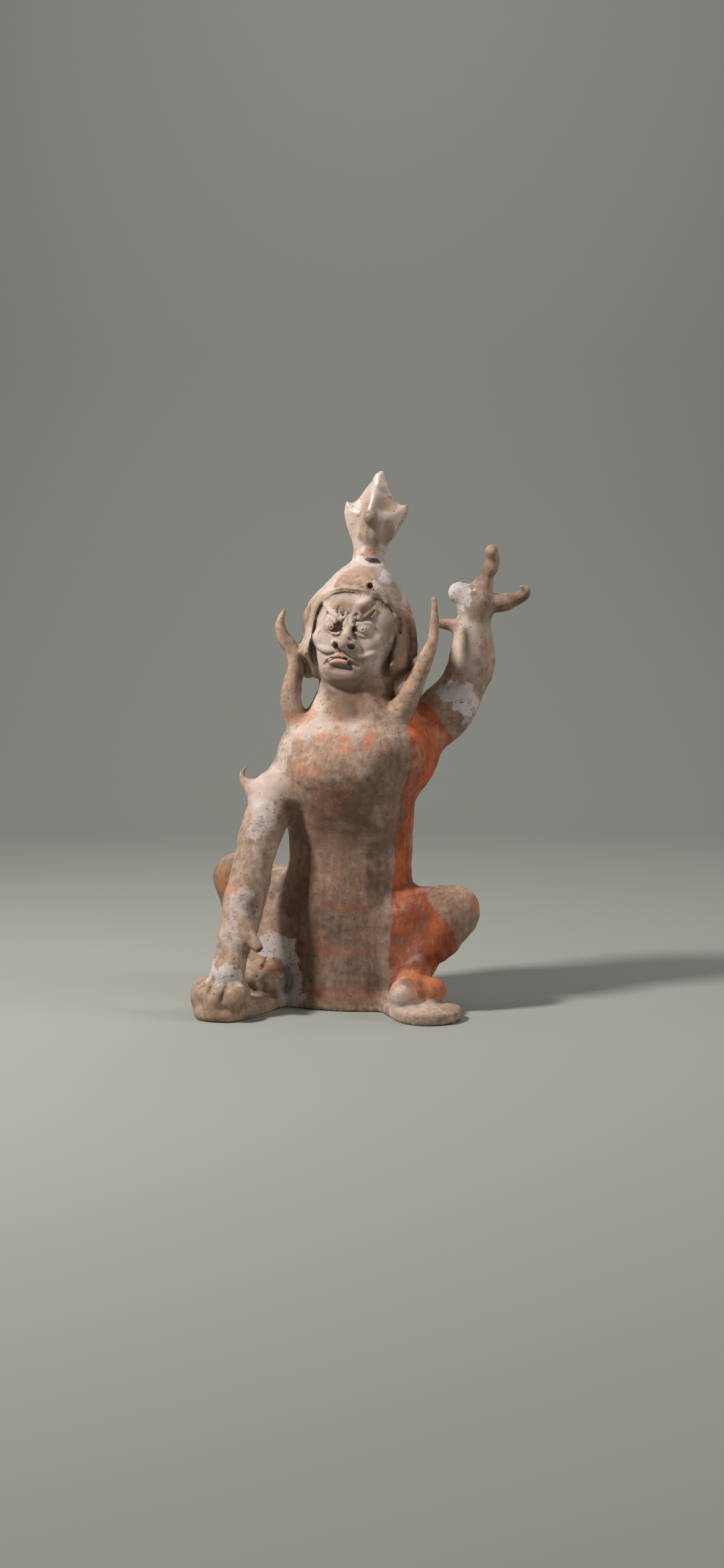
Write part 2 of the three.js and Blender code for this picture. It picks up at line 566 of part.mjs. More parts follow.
// Everything in the order that the clay was put on and cut away
const clay = [
  add(loft(TRUNK, TRUNK_SQUARENESS), JOIN.body),
  add(ellipsoid(RUMP), JOIN.body),
  ...HAUNCHES.map((shape) => add(ellipsoid(shape), JOIN.body)),
  ...THIGHS.map((points) => add(tube(points), JOIN.body)),
  ...SHANKS.map((points) => add(tube(points), JOIN.limb)),
  ...SHOULDERS.map((shape) => add(ellipsoid(shape), JOIN.body)),
  add(tube(SPINE), JOIN.limb),
  add(tube(TAIL), JOIN.small),
  add(tube(PLANTED_FORELEG), JOIN.limb),
  add(tube(DEWCLAW), JOIN.small),
  add(tube(ELBOW_WEB), JOIN.limb),
  add(tube(ELBOW_THORN), JOIN.small),
  add(tube(RAISED_ARM), JOIN.limb),
  add(tube(ARM_FLANGE), JOIN.small),
  add(ellipsoid(RAISED_PALM), JOIN.limb),
  ...RAISED_CLAWS.map((points) => add(tube(points), JOIN.small)),
  add(tube(WRIST_SPUR), JOIN.small),
  add(slab(), FOOT_FILLET),
  ...[...PLANTED_PAW, ...PLANTED_TOES].map((shape) => add(ellipsoid(shape), JOIN.small)),
  ...TOE_GROOVES.map((points) => cut(tube(points), JOIN.face)),
  ...HIND_TOES.map((shape) => add(ellipsoid(shape), JOIN.toe)),
  ...HIND_CREASES.map((points) => cut(tube(points), JOIN.face)),
  ...WINGS.map((points) => add(tube(points), JOIN.small)),
  ...head(),
];

function head() {
  const steps = [
    add(openHood(), JOIN.small),
    add(tube(JAW_FLAP), JOIN.small),
    add(tube(HOOD_TIP), JOIN.small),
    add(ellipsoid(SCAR_BED), JOIN.small),
    add(loft(FACE_BASE, FACE_SQUARENESS), JOIN.face),
    ...CHIN_CHEEKS_AND_BROW.map((row) => add(lump(row), JOIN.small)),
    ...EYE_SOCKETS.map((row) => cut(lump(row), JOIN.face)),
    ...EYEBALLS.map((row) => add(lump(row), JOIN.fine)),
    ...BROWS.map((rows) => add(roll(rows), JOIN.face)),
    ...EYELIDS.map((rows) => add(roll(rows), JOIN.fine)),
    ...PUPILS.map((row) => add(lump(row), JOIN.sharp)),
    ...FROWN.map((rows) => add(roll(rows), JOIN.fine)),
    ...BROW_CURLS.map((row) => add(lump(row), JOIN.fine)),
    add(roll(NOSE), JOIN.small),
    ...NOSTRIL_WINGS.map((row) => add(lump(row), JOIN.face)),
    ...NOSTRILS.map((row) => cut(lump(row), JOIN.sharp)),
    ...MOUSTACHE.map((rows) => add(roll(rows), JOIN.face)),
    cut(roll(LIP_HOLLOW), JOIN.small),
    add(roll(LIP_BAND), JOIN.face),
    cut(roll(MOUTH), JOIN.cut),
    ...LIPS.map((rows) => add(roll(rows), JOIN.sharp)),
    add(tube(HAIR_LOCK), JOIN.face),
    ...EARS.map((points) => add(tube(points), JOIN.small)),
    cut(tube(EAR_HOLLOW), JOIN.face),
    add(tube(HORN_NECK), JOIN.small),
    add(hornPlate(), JOIN.small),
    add(tube(HORN_RIDGE), JOIN.limb),
    cut(ellipsoid(HORN_HOLLOW), JOIN.toe),
    cut(tube(HORN_GROOVE), JOIN.small),
    add(ellipsoid(HORN_PELLET), JOIN.fine),
    cut(tube(HORN_SLOT), JOIN.cut),
    cut(tube(BREAK_HOLE), JOIN.cut),
  ];
  return steps.map((step) => ({ ...step, ...onHead(step) }));
}

// Distance to the clay's surface, negative inside, in drawn millimetres above the slab's top
function claySurface(x, y, z) {
  let d = Infinity;
  for (const { distance, box, join, cuts } of clay) {
    const away = Math.hypot(
      Math.max(box[0] - x, x - box[3], 0),
      Math.max(box[1] - y, y - box[4], 0),
      Math.max(box[2] - z, z - box[5], 0),
    );
    if (away > (cuts ? join - d : d + join)) continue;
    d = cuts ? -weld(-d, distance(x, y, z), join) : weld(d, distance(x, y, z), join);
    if (!Number.isFinite(d)) d = distance(x, y, z);
  }
  return d;
}

// Grid lines from low to high: fine between the two inner marks, coarse elsewhere
function gridLines(low, fineLow, fineHigh, high) {
  const lines = [];
  for (let at = low; at < high + BODY_STEP; at += at > fineLow && at < fineHigh ? FACE_STEP : BODY_STEP) {
    lines.push(at);
  }
  while ((lines.length - 1) % BLOCK) lines.push(lines[lines.length - 1] + BODY_STEP);
  return Float64Array.from(lines);
}

// The six tetrahedra of a cell, as corner numbers with bits x, y and z
const TETRAHEDRA = [[0, 1, 3, 7], [0, 3, 2, 7], [0, 2, 6, 7], [0, 6, 4, 7], [0, 4, 5, 7], [0, 5, 1, 7]];

// Closed mesh of the zero surface, by marching through tetrahedra
function polygonise(field, xs, ys, zs) {
  const nx = xs.length;
  const ny = ys.length;
  const nz = zs.length;
  const values = new Float32Array(nx * ny * nz).fill(NaN);
  const index = (i, j, k) => (k * ny + j) * nx + i;
  const active = [];
  for (let k = 0; k < nz - 1; k += BLOCK) {
    for (let j = 0; j < ny - 1; j += BLOCK) {
      for (let i = 0; i < nx - 1; i += BLOCK) {
        const starts = [i, j, k];
        const half = [xs, ys, zs].map((lines, axis) => {
          return (lines[starts[axis] + BLOCK] - lines[starts[axis]]) / 2;
        });
        const middle = field(xs[i] + half[0], ys[j] + half[1], zs[k] + half[2]);
        if (Math.abs(middle) < Math.hypot(...half) * BLOCK_MARGIN) active.push([i, j, k]);
      }
    }
  }
  for (const [i0, j0, k0] of active) {
    for (let k = k0; k <= k0 + BLOCK; k++) {
      for (let j = j0; j <= j0 + BLOCK; j++) {
        for (let i = i0; i <= i0 + BLOCK; i++) {
          const at = index(i, j, k);
          if (Number.isNaN(values[at])) values[at] = field(xs[i], ys[j], zs[k]) || 1e-5;
        }
      }
    }
  }
  const places = [];
  const triangles = [];
  const made = new Map();
  const corner = new Array(8);
  const level = new Array(8);
  const point = (at) => [xs[at % nx], ys[Math.floor(at / nx) % ny], zs[Math.floor(at / (nx * ny))]];
  const crossing = (a, b) => {
    const [low, high] = corner[a] < corner[b] ? [corner[a], corner[b]] : [corner[b], corner[a]];
    const key = low * KEY_SPAN + (high - low);
    let number = made.get(key);
    if (number === undefined) {
      const t = clamp(values[low] / (values[low] - values[high]), EDGE_CLEAR, 1 - EDGE_CLEAR);
      const p = point(low);
      const q = point(high);
      number = places.length / 3;
      places.push(mix(p[0], q[0], t), mix(p[1], q[1], t), mix(p[2], q[2], t));
      made.set(key, number);
    }
    return number;
  };
  for (const [i0, j0, k0] of active) {
    for (let k = k0; k < k0 + BLOCK; k++) {
      for (let j = j0; j < j0 + BLOCK; j++) {
        for (let i = i0; i < i0 + BLOCK; i++) {
          let inside = 0;
          for (let c = 0; c < 8; c++) {
            corner[c] = index(i + (c & 1), j + ((c >> 1) & 1), k + (c >> 2));
            level[c] = values[corner[c]];
            if (level[c] < 0) inside++;
          }
          if (inside === 0 || inside === 8) continue;
          for (const tetra of TETRAHEDRA) marchTetra(tetra, level, crossing, triangles);
        }
      }
    }
  }
  return { places: Float64Array.from(places), triangles: Int32Array.from(triangles) };
}

// Triangles of one tetrahedron, wound so that they face out
function marchTetra(tetra, level, crossing, triangles) {
  const within = tetra.filter((c) => level[c] < 0);
  const without = tetra.filter((c) => level[c] >= 0);
  if (within.length === 0 || without.length === 0) return;
  const order = [...within, ...without].map((c) => tetra.indexOf(c));
  let swaps = 0;
  for (let a = 0; a < 4; a++) {
    for (let b = a + 1; b < 4; b++) {
      if (order[a] > order[b]) swaps++;
    }
  }
  const even = swaps % 2 === 0;
  const push = (a, b, c) => (even ? triangles.push(a, b, c) : triangles.push(a, c, b));
  if (within.length === 1) {
    const [a] = within;
    const [p, q, r] = without.map((c) => crossing(a, c));
    push(p, q, r);
  } else if (within.length === 3) {
    const [d] = without;
    const [p, q, r] = within.map((c) => crossing(c, d));
    push(p, q, r);
  } else {
    const [a, b] = within;
    const [c, d] = without;
    const [ac, ad, bc, bd] = [crossing(a, c), crossing(a, d), crossing(b, c), crossing(b, d)];
    push(ac, ad, bd);
    push(ac, bd, bc);
  }
}

// Heap of possible edge collapses, cheapest first
class Heap {
  constructor(room) {
    this.costs = new Float64Array(room);
    this.entries = new Int32Array(room);
    this.size = 0;
  }

  push(cost, entry) {
    const { costs, entries } = this;
    let at = this.size++;
    while (at > 0) {
      const up = (at - 1) >> 1;
      if (costs[up] <= cost) break;
      costs[at] = costs[up];
      entries[at] = entries[up];
      at = up;
    }
    costs[at] = cost;
    entries[at] = entry;
  }

  pop() {
    const { costs, entries } = this;
    const top = entries[0];
    const last = --this.size;
    const cost = costs[last];
    const entry = entries[last];
    let at = 0;
    for (;;) {
      let child = at * 2 + 1;
      if (child >= last) break;
      if (child + 1 < last && costs[child + 1] < costs[child]) child++;
      if (cost <= costs[child]) break;
      costs[at] = costs[child];
      entries[at] = entries[child];
      at = child;
    }
    costs[at] = cost;
    entries[at] = entry;
    return top;
  }
}

// Thins a closed mesh by collapsing the edges that change the surface least
class Thinner {
  constructor({ places, triangles }, weightAt) {
    this.places = places;
    this.triangles = triangles;
    this.count = triangles.length / 3;
    const vertices = places.length / 3;
    const room = triangles.length * 6;
    this.around = Array.from({ length: vertices }, () => []);
    this.quadrics = new Float64Array(vertices * 10);
    this.version = new Int32Array(vertices);
    this.heap = new Heap(room);
    this.first = new Int32Array(room);
    this.second = new Int32Array(room);
    this.stamps = new Int32Array(room);
    this.offers = 0;
    this.sum = new Float64Array(10);
    this.best = new Float64Array(3);
    this.n = new Float64Array(3);
    this.m = new Float64Array(3);
    this.mark = new Int32Array(vertices);
    this.marks = 0;
    for (let t = 0; t < this.count; t++) {
      for (let c = 0; c < 3; c++) this.around[triangles[t * 3 + c]].push(t);
      this.addPlane(t, weightAt);
    }
    for (let t = 0; t < this.count; t++) {
      for (let c = 0; c < 3; c++) {
        const a = triangles[t * 3 + c];
        const b = triangles[t * 3 + ((c + 1) % 3)];
        if (a < b) this.offer(a, b);
      }
    }
  }

  // Normal of a triangle, twice its area long, with one vertex taken as moved to a place
  normal(t, moved, place, out) {
    const { triangles, places } = this;
    const at = t * 3;
    const a = triangles[at];
    const b = triangles[at + 1];
    const c = triangles[at + 2];
    const [from, i] = a === moved ? [place, 0] : [places, a * 3];
    const [over, j] = b === moved ? [place, 0] : [places, b * 3];
    const [to, k] = c === moved ? [place, 0] : [places, c * 3];
    const ux = over[j] - from[i];
    const uy = over[j + 1] - from[i + 1];
    const uz = over[j + 2] - from[i + 2];
    const vx = to[k] - from[i];
    const vy = to[k + 1] - from[i + 1];
    const vz = to[k + 2] - from[i + 2];
    out[0] = uy * vz - uz * vy;
    out[1] = uz * vx - ux * vz;
    out[2] = ux * vy - uy * vx;
    return out;
  }

  addPlane(t, weightAt) {
    const { triangles, places, quadrics } = this;
    const n = this.normal(t, -1, null, this.n);
    const twice = Math.hypot(n[0], n[1], n[2]);
    if (twice < 1e-12) return;
    const a = n[0] / twice;
    const b = n[1] / twice;
    const c = n[2] / twice;
    const v = triangles[t * 3] * 3;
    const d = -(a * places[v] + b * places[v + 1] + c * places[v + 2]);
    const weight = twice * weightAt(places[v], places[v + 1], places[v + 2]);
    const plane = [a * a, a * b, a * c, a * d, b * b, b * c, b * d, c * c, c * d, d * d];
    for (let corner = 0; corner < 3; corner++) {
      const at = triangles[t * 3 + corner] * 10;
      for (let m = 0; m < 10; m++) quadrics[at + m] += plane[m] * weight;
    }
  }

  // Where the edge's two ends would best meet, left in this.best, and what that costs
  meeting(a, b) {
    const { quadrics, places, sum, best } = this;
    for (let m = 0; m < 10; m++) sum[m] = quadrics[a * 10 + m] + quadrics[b * 10 + m];
    const i = a * 3;
    const j = b * 3;
    const mx = (places[i] + places[j]) / 2;
    const my = (places[i + 1] + places[j + 1]) / 2;
    const mz = (places[i + 2] + places[j + 2]) / 2;
    const length = 2 * Math.hypot(places[i] - mx, places[i + 1] - my, places[i + 2] - mz);
    const clear = flattestPlace(sum, best);
    if (!clear || Math.hypot(best[0] - mx, best[1] - my, best[2] - mz) > length * LONGEST_MOVE) {
      best[0] = mx;
      best[1] = my;
      best[2] = mz;
    }
    return quadricError(sum, best) + LENGTH_COST * length * length;
  }

  offer(a, b) {
    if (this.offers === this.first.length) return;
    const entry = this.offers++;
    this.first[entry] = a;
    this.second[entry] = b;
    this.stamps[entry] = this.version[a] + this.version[b];
    this.heap.push(this.meeting(a, b), entry);
  }

  // Marks the vertices next to v and counts how many bore the mark to look for
  spread(v, lookFor) {
    const { triangles, around, mark } = this;
    const own = ++this.marks;
    let found = 0;
    let near = 0;
    mark[v] = own;
    for (const t of around[v]) {
      for (let at = t * 3; at < t * 3 + 3; at++) {
        const w = triangles[at];
        if (mark[w] === own) continue;
        if (mark[w] === lookFor) found++;
        mark[w] = own;
        near++;
      }
    }
    return { own, found, near };
  }

  allowed(a, b) {
    const fromA = this.spread(a, -1);
    const fromB = this.spread(b, fromA.own);
    // b counts a's mark on a itself, so two shared neighbours are three marks
    if (fromB.found !== 3 || fromA.near + fromB.near > MOST_NEIGHBOURS) return false;
    return this.keepsFacing(a, b) && this.keepsFacing(b, a);
  }

  keepsFacing(v, other) {
    const { triangles, around, n, m, best } = this;
    for (const t of around[v]) {
      const at = t * 3;
      if (triangles[at] === other || triangles[at + 1] === other || triangles[at + 2] === other) continue;
      this.normal(t, -1, null, n);
      this.normal(t, v, best, m);
      const dot = n[0] * m[0] + n[1] * m[1] + n[2] * m[2];
      if (dot < LEAST_FACING * Math.hypot(n[0], n[1], n[2]) * Math.hypot(m[0], m[1], m[2])) return false;
    }
    return true;
  }

  collapse(a, b) {
    const { places, triangles, around, quadrics, version, best } = this;
    for (let axis = 0; axis < 3; axis++) places[a * 3 + axis] = best[axis];
    for (let m = 0; m < 10; m++) quadrics[a * 10 + m] += quadrics[b * 10 + m];
    for (const t of around[b]) {
      const at = t * 3;
      const corners = [triangles[at], triangles[at + 1], triangles[at + 2]];
      if (corners.includes(a)) {
        for (const v of corners) {
          if (v !== b) around[v].splice(around[v].indexOf(t), 1);
        }
        triangles[at] = -1;
        this.count--;
      } else {
        triangles[at + corners.indexOf(b)] = a;
        around[a].push(t);
      }
    }
    around[b] = [];
    version[a] += 1;
    version[b] = -1e9;
    const near = new Set();
    for (const t of around[a]) {
      for (let c = 0; c < 3; c++) near.add(triangles[t * 3 + c]);
    }
    near.delete(a);
    for (const v of near) this.offer(a, v);
  }

  thin(target) {
    while (this.count > target && this.heap.size > 0) {
      const entry = this.heap.pop();
      const a = this.first[entry];
      const b = this.second[entry];
      if (this.version[a] + this.version[b] !== this.stamps[entry]) continue;
      this.meeting(a, b);
      if (this.allowed(a, b)) this.collapse(a, b);
    }
    return packed(this.places, this.triangles);
  }
}

function quadricError(q, place) {
  const x = place[0];
  const y = place[1];
  const z = place[2];
  return q[0] * x * x + 2 * q[1] * x * y + 2 * q[2] * x * z + 2 * q[3] * x
    + q[4] * y * y + 2 * q[5] * y * z + 2 * q[6] * y + q[7] * z * z + 2 * q[8] * z + q[9];
}

// Puts the place where a quadric is least into out, and says whether that is one clear point
function flattestPlace(q, out) {
  const c00 = q[4] * q[7] - q[5] * q[5];
  const c01 = q[2] * q[5] - q[1] * q[7];
  const c02 = q[1] * q[5] - q[2] * q[4];
  const determinant = q[0] * c00 + q[1] * c01 + q[2] * c02;
  const size = q[0] + q[4] + q[7];
  if (Math.abs(determinant) < CLEAR_QUADRIC * size * size * size) return false;
  const c11 = q[0] * q[7] - q[2] * q[2];
  const c12 = q[1] * q[2] - q[0] * q[5];
  const c22 = q[0] * q[4] - q[1] * q[1];
  out[0] = -(c00 * q[3] + c01 * q[6] + c02 * q[8]) / determinant;
  out[1] = -(c01 * q[3] + c11 * q[6] + c12 * q[8]) / determinant;
  out[2] = -(c02 * q[3] + c12 * q[6] + c22 * q[8]) / determinant;
  return true;
}

// The outer shell alone, without the odd closed pocket between two features
function outerShell({ places, triangles }) {
  const parent = Int32Array.from({ length: places.length / 3 }, (_, v) => v);
  const root = (v) => {
    let at = v;
    while (parent[at] !== at) {
      parent[at] = parent[parent[at]];
      at = parent[at];
    }
    return at;
  };
  const sizes = new Map();
  for (let at = 0; at < triangles.length; at += 3) {
    parent[root(triangles[at])] = root(triangles[at + 1]);
    parent[root(triangles[at + 1])] = root(triangles[at + 2]);
  }
  for (let at = 0; at < triangles.length; at += 3) {
    const shell = root(triangles[at]);
    sizes.set(shell, (sizes.get(shell) ?? 0) + 1);
  }
  const largest = [...sizes.keys()].reduce((a, b) => (sizes.get(a) >= sizes.get(b) ? a : b));
  const kept = triangles.map((v, at) => (root(triangles[at - (at % 3)]) === largest ? v : -1));
  return packed(places, kept);
}

// The mesh again without its unused vertices
function packed(places, triangles) {
  const renumbered = new Map();
  const keptPlaces = [];
  const keptTriangles = [];
  for (let at = 0; at < triangles.length; at += 3) {
    if (triangles[at] < 0) continue;
    for (let c = 0; c < 3; c++) {
      const v = triangles[at + c];
      if (!renumbered.has(v)) {
        renumbered.set(v, keptPlaces.length / 3);
        keptPlaces.push(places[v * 3], places[v * 3 + 1], places[v * 3 + 2]);
      }
      keptTriangles.push(renumbered.get(v));
    }
  }
  return { places: Float64Array.from(keptPlaces), triangles: Int32Array.from(keptTriangles) };
}

// Moves each vertex onto the field's surface
function settle(field, { places, triangles }) {
  const step = SETTLE.reach;
  for (let v = 0; v < places.length; v += 3) {
    const [x, y, z] = places.subarray(v, v + 3);
    const d = field(x, y, z);
    const gx = (field(x + step, y, z) - d) / step;
    const gy = (field(x, y + step, z) - d) / step;
    const gz = (field(x, y, z + step) - d) / step;
    const steep = gx * gx + gy * gy + gz * gz;
    const move = steep > SETTLE.steep ? clamp(d / steep, -SETTLE.cap, SETTLE.cap) : 0;
    places[v] = x - gx * move;
    places[v + 1] = y - gy * move;
    places[v + 2] = z - gz * move;
  }
  return { places, triangles };
}

// Face box in the figure's frame, where the grid is finer and more triangles are kept
const faceBox = new THREE.Box3().setFromCenterAndSize(
  new THREE.Vector3(...HEAD.centre).add(new THREE.Vector3(...FINE_BOX.offset)),
  new THREE.Vector3(...FINE_BOX.size),
);
const weightAt = (x, y, z) => (faceBox.containsPoint(new THREE.Vector3(x, y, z)) ? FACE_WEIGHT : 1);

function bodyMesh() {
  const added = clay.filter(({ cuts }) => !cuts).map(({ box }) => box);
  const [x0, y0, , x1, y1, z1] = around(added);
  const xs = gridLines(x0 - BODY_STEP, faceBox.min.x, faceBox.max.x, x1 + BODY_STEP);
  const ys = gridLines(y0 - BODY_STEP, faceBox.min.y, faceBox.max.y, y1 + BODY_STEP);
  const zs = gridLines(underside - CUT_DEPTH, faceBox.min.z, faceBox.max.z, z1 + BODY_STEP);
  const floor = underside - CUT_DEPTH / 2;
  const dense = polygonise((x, y, z) => Math.max(claySurface(x, y, z), floor - z), xs, ys, zs);
  const thinned = new Thinner(dense, weightAt).thin(TRIANGLES);
  return settle(claySurface, outerShell(thinned));
}

const wasm = await Module();
wasm.setup();

// Closed mesh as a solid, and back
function solidOf({ places, triangles }) {
  const mesh = new wasm.Mesh({
    numProp: 3,
    vertProperties: Float32Array.from(places),
    triVerts: Uint32Array.from(triangles),
  });
  return new wasm.Manifold(mesh);
}

function geometryOf(solid) {
  const { vertProperties, triVerts } = solid.getMesh();
  const geometry = new THREE.BufferGeometry();
  geometry.setAttribute("position", new THREE.BufferAttribute(Float32Array.from(vertProperties), 3));
  geometry.setIndex(new THREE.BufferAttribute(Uint32Array.from(triVerts), 1));
  geometry.computeVertexNormals();
  return geometry;
}

// Block of ground below the underside, as a closed mesh
function groundBlock() {
  const block = new THREE.BoxGeometry(GROUND.width, GROUND.width, GROUND.depth);
  block.translate(0, 0, -GROUND.depth / 2);
  const { position } = block.attributes;
  const seen = new Map();
  const places = [];
  const numbers = [];
  for (let v = 0; v < position.count; v++) {
    const key = [position.getX(v), position.getY(v), position.getZ(v)].join();
    if (!seen.has(key)) {
      seen.set(key, places.length / 3);
      places.push(position.getX(v), position.getY(v), position.getZ(v));
    }
    numbers.push(seen.get(key));
  }
  return { places, triangles: Array.from(block.index.array, (v) => numbers[v]) };
}

const drawn = bodyMesh();
const sized = {
  places: drawn.places.map((value, at) => value * UNIT + (at % 3 === 2 ? SLAB_THICKNESS : 0)),
  triangles: drawn.triangles,
};
const body = solidOf(sized).subtract(solidOf(groundBlock()));

const clayMaterial = new THREE.MeshStandardMaterial({ color: 0x9a7f68, roughness: 0.9, metalness: 0 });
const beast = new THREE.Mesh(geometryOf(body), clayMaterial);
beast.name = "tomb_guardian_beast";

const guardian = new THREE.Group();
guardian.add(beast);

export default guardian;
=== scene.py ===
"""Dresses the tomb guardian beast: its modelled clay, its worn paint and the studio round it.

The clay is one smooth field, the distance to the surface, welded together from simple forms in
the order in which a modeller would put them on. The field is meshed, refined where the carving
is fine, and carries the places of paint, plaster, grime and painted shade as attributes for the shader.
Lengths are drawn millimetres above the slab's top until the mesh is made, then metres.
"""

from __future__ import annotations

import logging
from dataclasses import dataclass, field
from enum import Enum
from typing import Protocol, Sequence

import bpy
import numpy as np
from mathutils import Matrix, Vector


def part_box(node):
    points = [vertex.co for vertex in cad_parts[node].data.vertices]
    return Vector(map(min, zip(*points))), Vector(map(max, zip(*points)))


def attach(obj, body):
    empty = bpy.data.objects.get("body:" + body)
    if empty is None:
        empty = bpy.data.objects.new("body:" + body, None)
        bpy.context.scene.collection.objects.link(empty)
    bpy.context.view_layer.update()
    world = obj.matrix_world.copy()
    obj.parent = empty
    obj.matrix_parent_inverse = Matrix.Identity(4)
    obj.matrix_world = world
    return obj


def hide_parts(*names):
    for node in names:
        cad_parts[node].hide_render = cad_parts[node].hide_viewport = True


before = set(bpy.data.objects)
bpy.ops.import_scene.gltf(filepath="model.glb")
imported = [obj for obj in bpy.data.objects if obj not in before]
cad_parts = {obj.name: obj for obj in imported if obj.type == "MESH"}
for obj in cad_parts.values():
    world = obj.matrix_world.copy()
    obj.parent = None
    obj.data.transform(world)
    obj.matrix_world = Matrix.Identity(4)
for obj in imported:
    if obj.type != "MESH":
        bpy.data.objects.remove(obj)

log = logging.getLogger("tomb_guardian_beast")

NODE = "tomb_guardian_beast"
BODY = "root"

FIGURE_HEIGHT = 638.0
SLAB_THICKNESS = 22.0
FAR = 1e4
TINY = 1e-6
LATTICE_CHUNK = 30000
SURFACE_CHUNK = 20000

Array = np.ndarray
Vec = tuple[float, float, float]
Rows = Sequence[Sequence[float]]


class Mode(Enum):
    """What a step of modelling does to the clay."""

    ADD = 1
    CUT = -1


class Shape(Protocol):
    """Anything with a distance to its surface and a box round it."""

    def distance(self, points: Array) -> Array:
        """Distance of each point to the surface, negative inside."""

    def box(self) -> Array:
        """Lowest and highest corner."""


@dataclass(frozen=True)
class Ellipsoid:
    """Egg of clay."""

    centre: Vec
    radii: Vec

    def distance(self, points: Array) -> Array:
        """Distance to the egg, good near its surface.

        The point is scaled to a unit ball; its length k0 there, times (k0 - 1), is divided by
        the length k1 of the gradient.

        Args:
            points: Three rows of x, y and z.

        Returns:
            One distance for each point.
        """
        radii = np.array(self.radii, points.dtype)[:, None]
        scaled = (points - np.array(self.centre, points.dtype)[:, None]) / radii
        k0 = np.sqrt(np.square(scaled).sum(0))
        k1 = np.sqrt(np.square(scaled / radii).sum(0))
        return k0 * (k0 - 1) / np.maximum(k1, TINY)

    def box(self) -> Array:
        """Lowest and highest corner."""
        centre, radii = np.array(self.centre), np.array(self.radii)
        return np.array([centre - radii, centre + radii])


def smooth_path(knots: Array, steps: int) -> Array:
    """Points on the Catmull-Rom curve through the knots.

    Args:
        knots: Rows of x, y and z.
        steps: Pieces that each span is divided into.

    Returns:
        Rows of x, y and z, the ends included.
    """
    padded = np.vstack([2 * knots[0] - knots[1], knots, 2 * knots[-1] - knots[-2]])
    t = np.linspace(0, 1, steps, endpoint=False)[:, None]
    spans = []
    for a, b, c, d in zip(padded[:-3], padded[1:-2], padded[2:-1], padded[3:]):
        rise = (-a + 3 * b - 3 * c + d) * t**3 + (2 * a - 5 * b + 4 * c - d) * t**2
        spans.append(0.5 * (rise + (c - a) * t) + b)
    return np.vstack([*spans, knots[-1:]])


@dataclass(frozen=True)
class Tube:
    """Roll of clay along a smooth curve, with rows of x, y, z and radius."""

    rows: Rows
    steps: int = 3

    def nodes(self) -> Array:
        """Rows of x, y, z and radius along the curve."""
        rows = np.array(self.rows, float)
        path = smooth_path(rows[:, :3], self.steps)
        at = np.linspace(0, len(rows) - 1, len(path))
        radius = np.interp(at, np.arange(len(rows)), rows[:, 3])
        return np.column_stack([path, radius])

    def distance(self, points: Array) -> Array:
        """Distance to the nearest of the tapered pieces.

        Args:
            points: Three rows of x, y and z.

        Returns:
            One distance for each point.
        """
        nodes = self.nodes().astype(points.dtype)
        best = np.full(points.shape[1], np.inf, points.dtype)
        for start, end in zip(nodes[:-1], nodes[1:]):
            way = end[:3] - start[:3]
            apart = points - start[:3, None]
            t = np.clip(way @ apart / max(way @ way, TINY), 0, 1)
            gap = np.sqrt(np.square(apart - way[:, None] * t).sum(0))
            np.minimum(best, gap - start[3] - (end[3] - start[3]) * t, out=best)
        return best

    def box(self) -> Array:
        """Lowest and highest corner."""
        nodes = self.nodes()
        places, radius = nodes[:, :3], nodes[:, 3:]
        return np.array([(places - radius).min(0), (places + radius).max(0)])


def eased_rows(rows: Array, heights: Array) -> Array:
    """Columns of a table read off at the heights, along smooth curves.

    Each column follows a cubic between rows, with the slope at a row taken from its neighbours.

    Args:
        rows: Height first, then the values at that height.
        heights: Where to read them.

    Returns:
        One row of values for each height.
    """
    ahead = np.vstack([rows[1:], rows[-1:]])
    behind = np.vstack([rows[:1], rows[:-1]])
    slopes = (ahead - behind)[:, 1:] / (ahead - behind)[:, :1]
    at = np.clip(np.searchsorted(rows[:, 0], heights, "right") - 1, 0, len(rows) - 2)
    span = (rows[at + 1, 0] - rows[at, 0])[:, None]
    t = np.clip((heights - rows[at, 0])[:, None] / span, 0, 1)
    low, high = rows[at, 1:], rows[at + 1, 1:]
    start = low * (2 * t**3 - 3 * t**2 + 1) + slopes[at] * span * (t**3 - 2 * t**2 + t)
    return start + high * (3 * t**2 - 2 * t**3) + slopes[at + 1] * span * (t**3 - t**2)


def oval(across: Array, deep: Array, wide: Array, long: Array, squareness: float) -> Array:
    """Distance in a plane to an oval, scaled along the line from its centre."""
    a, b = np.abs(across) + TINY, np.abs(deep) + TINY
    size = ((a / wide) ** squareness + (b / long) ** squareness) ** (1 / squareness)
    return np.hypot(a, b) * (1 - 1 / size)


def outline_distance(loop: Array, across: Array, up: Array) -> Array:
    """Distance in a plane to a closed outline, negative inside it.

    Args:
        loop: Rows of the outline's corners.
        across: First coordinate of each point.
        up: Second coordinate of each point.

    Returns:
        One distance for each point.
    """
    best = np.full(across.shape, np.inf)
    inside = np.zeros(across.shape, bool)
    for (u0, v0), (u1, v1) in zip(loop, np.roll(loop, 1, axis=0)):
        du, dv = u1 - u0, v1 - v0
        t = np.clip(((across - u0) * du + (up - v0) * dv) / (du * du + dv * dv), 0, 1)
        best = np.minimum(best, np.hypot(across - u0 - du * t, up - v0 - dv * t))
        if dv:
            inside ^= ((v0 > up) != (v1 > up)) & (across < du * (up - v0) / dv + u0)
    return np.where(inside, -best, best)


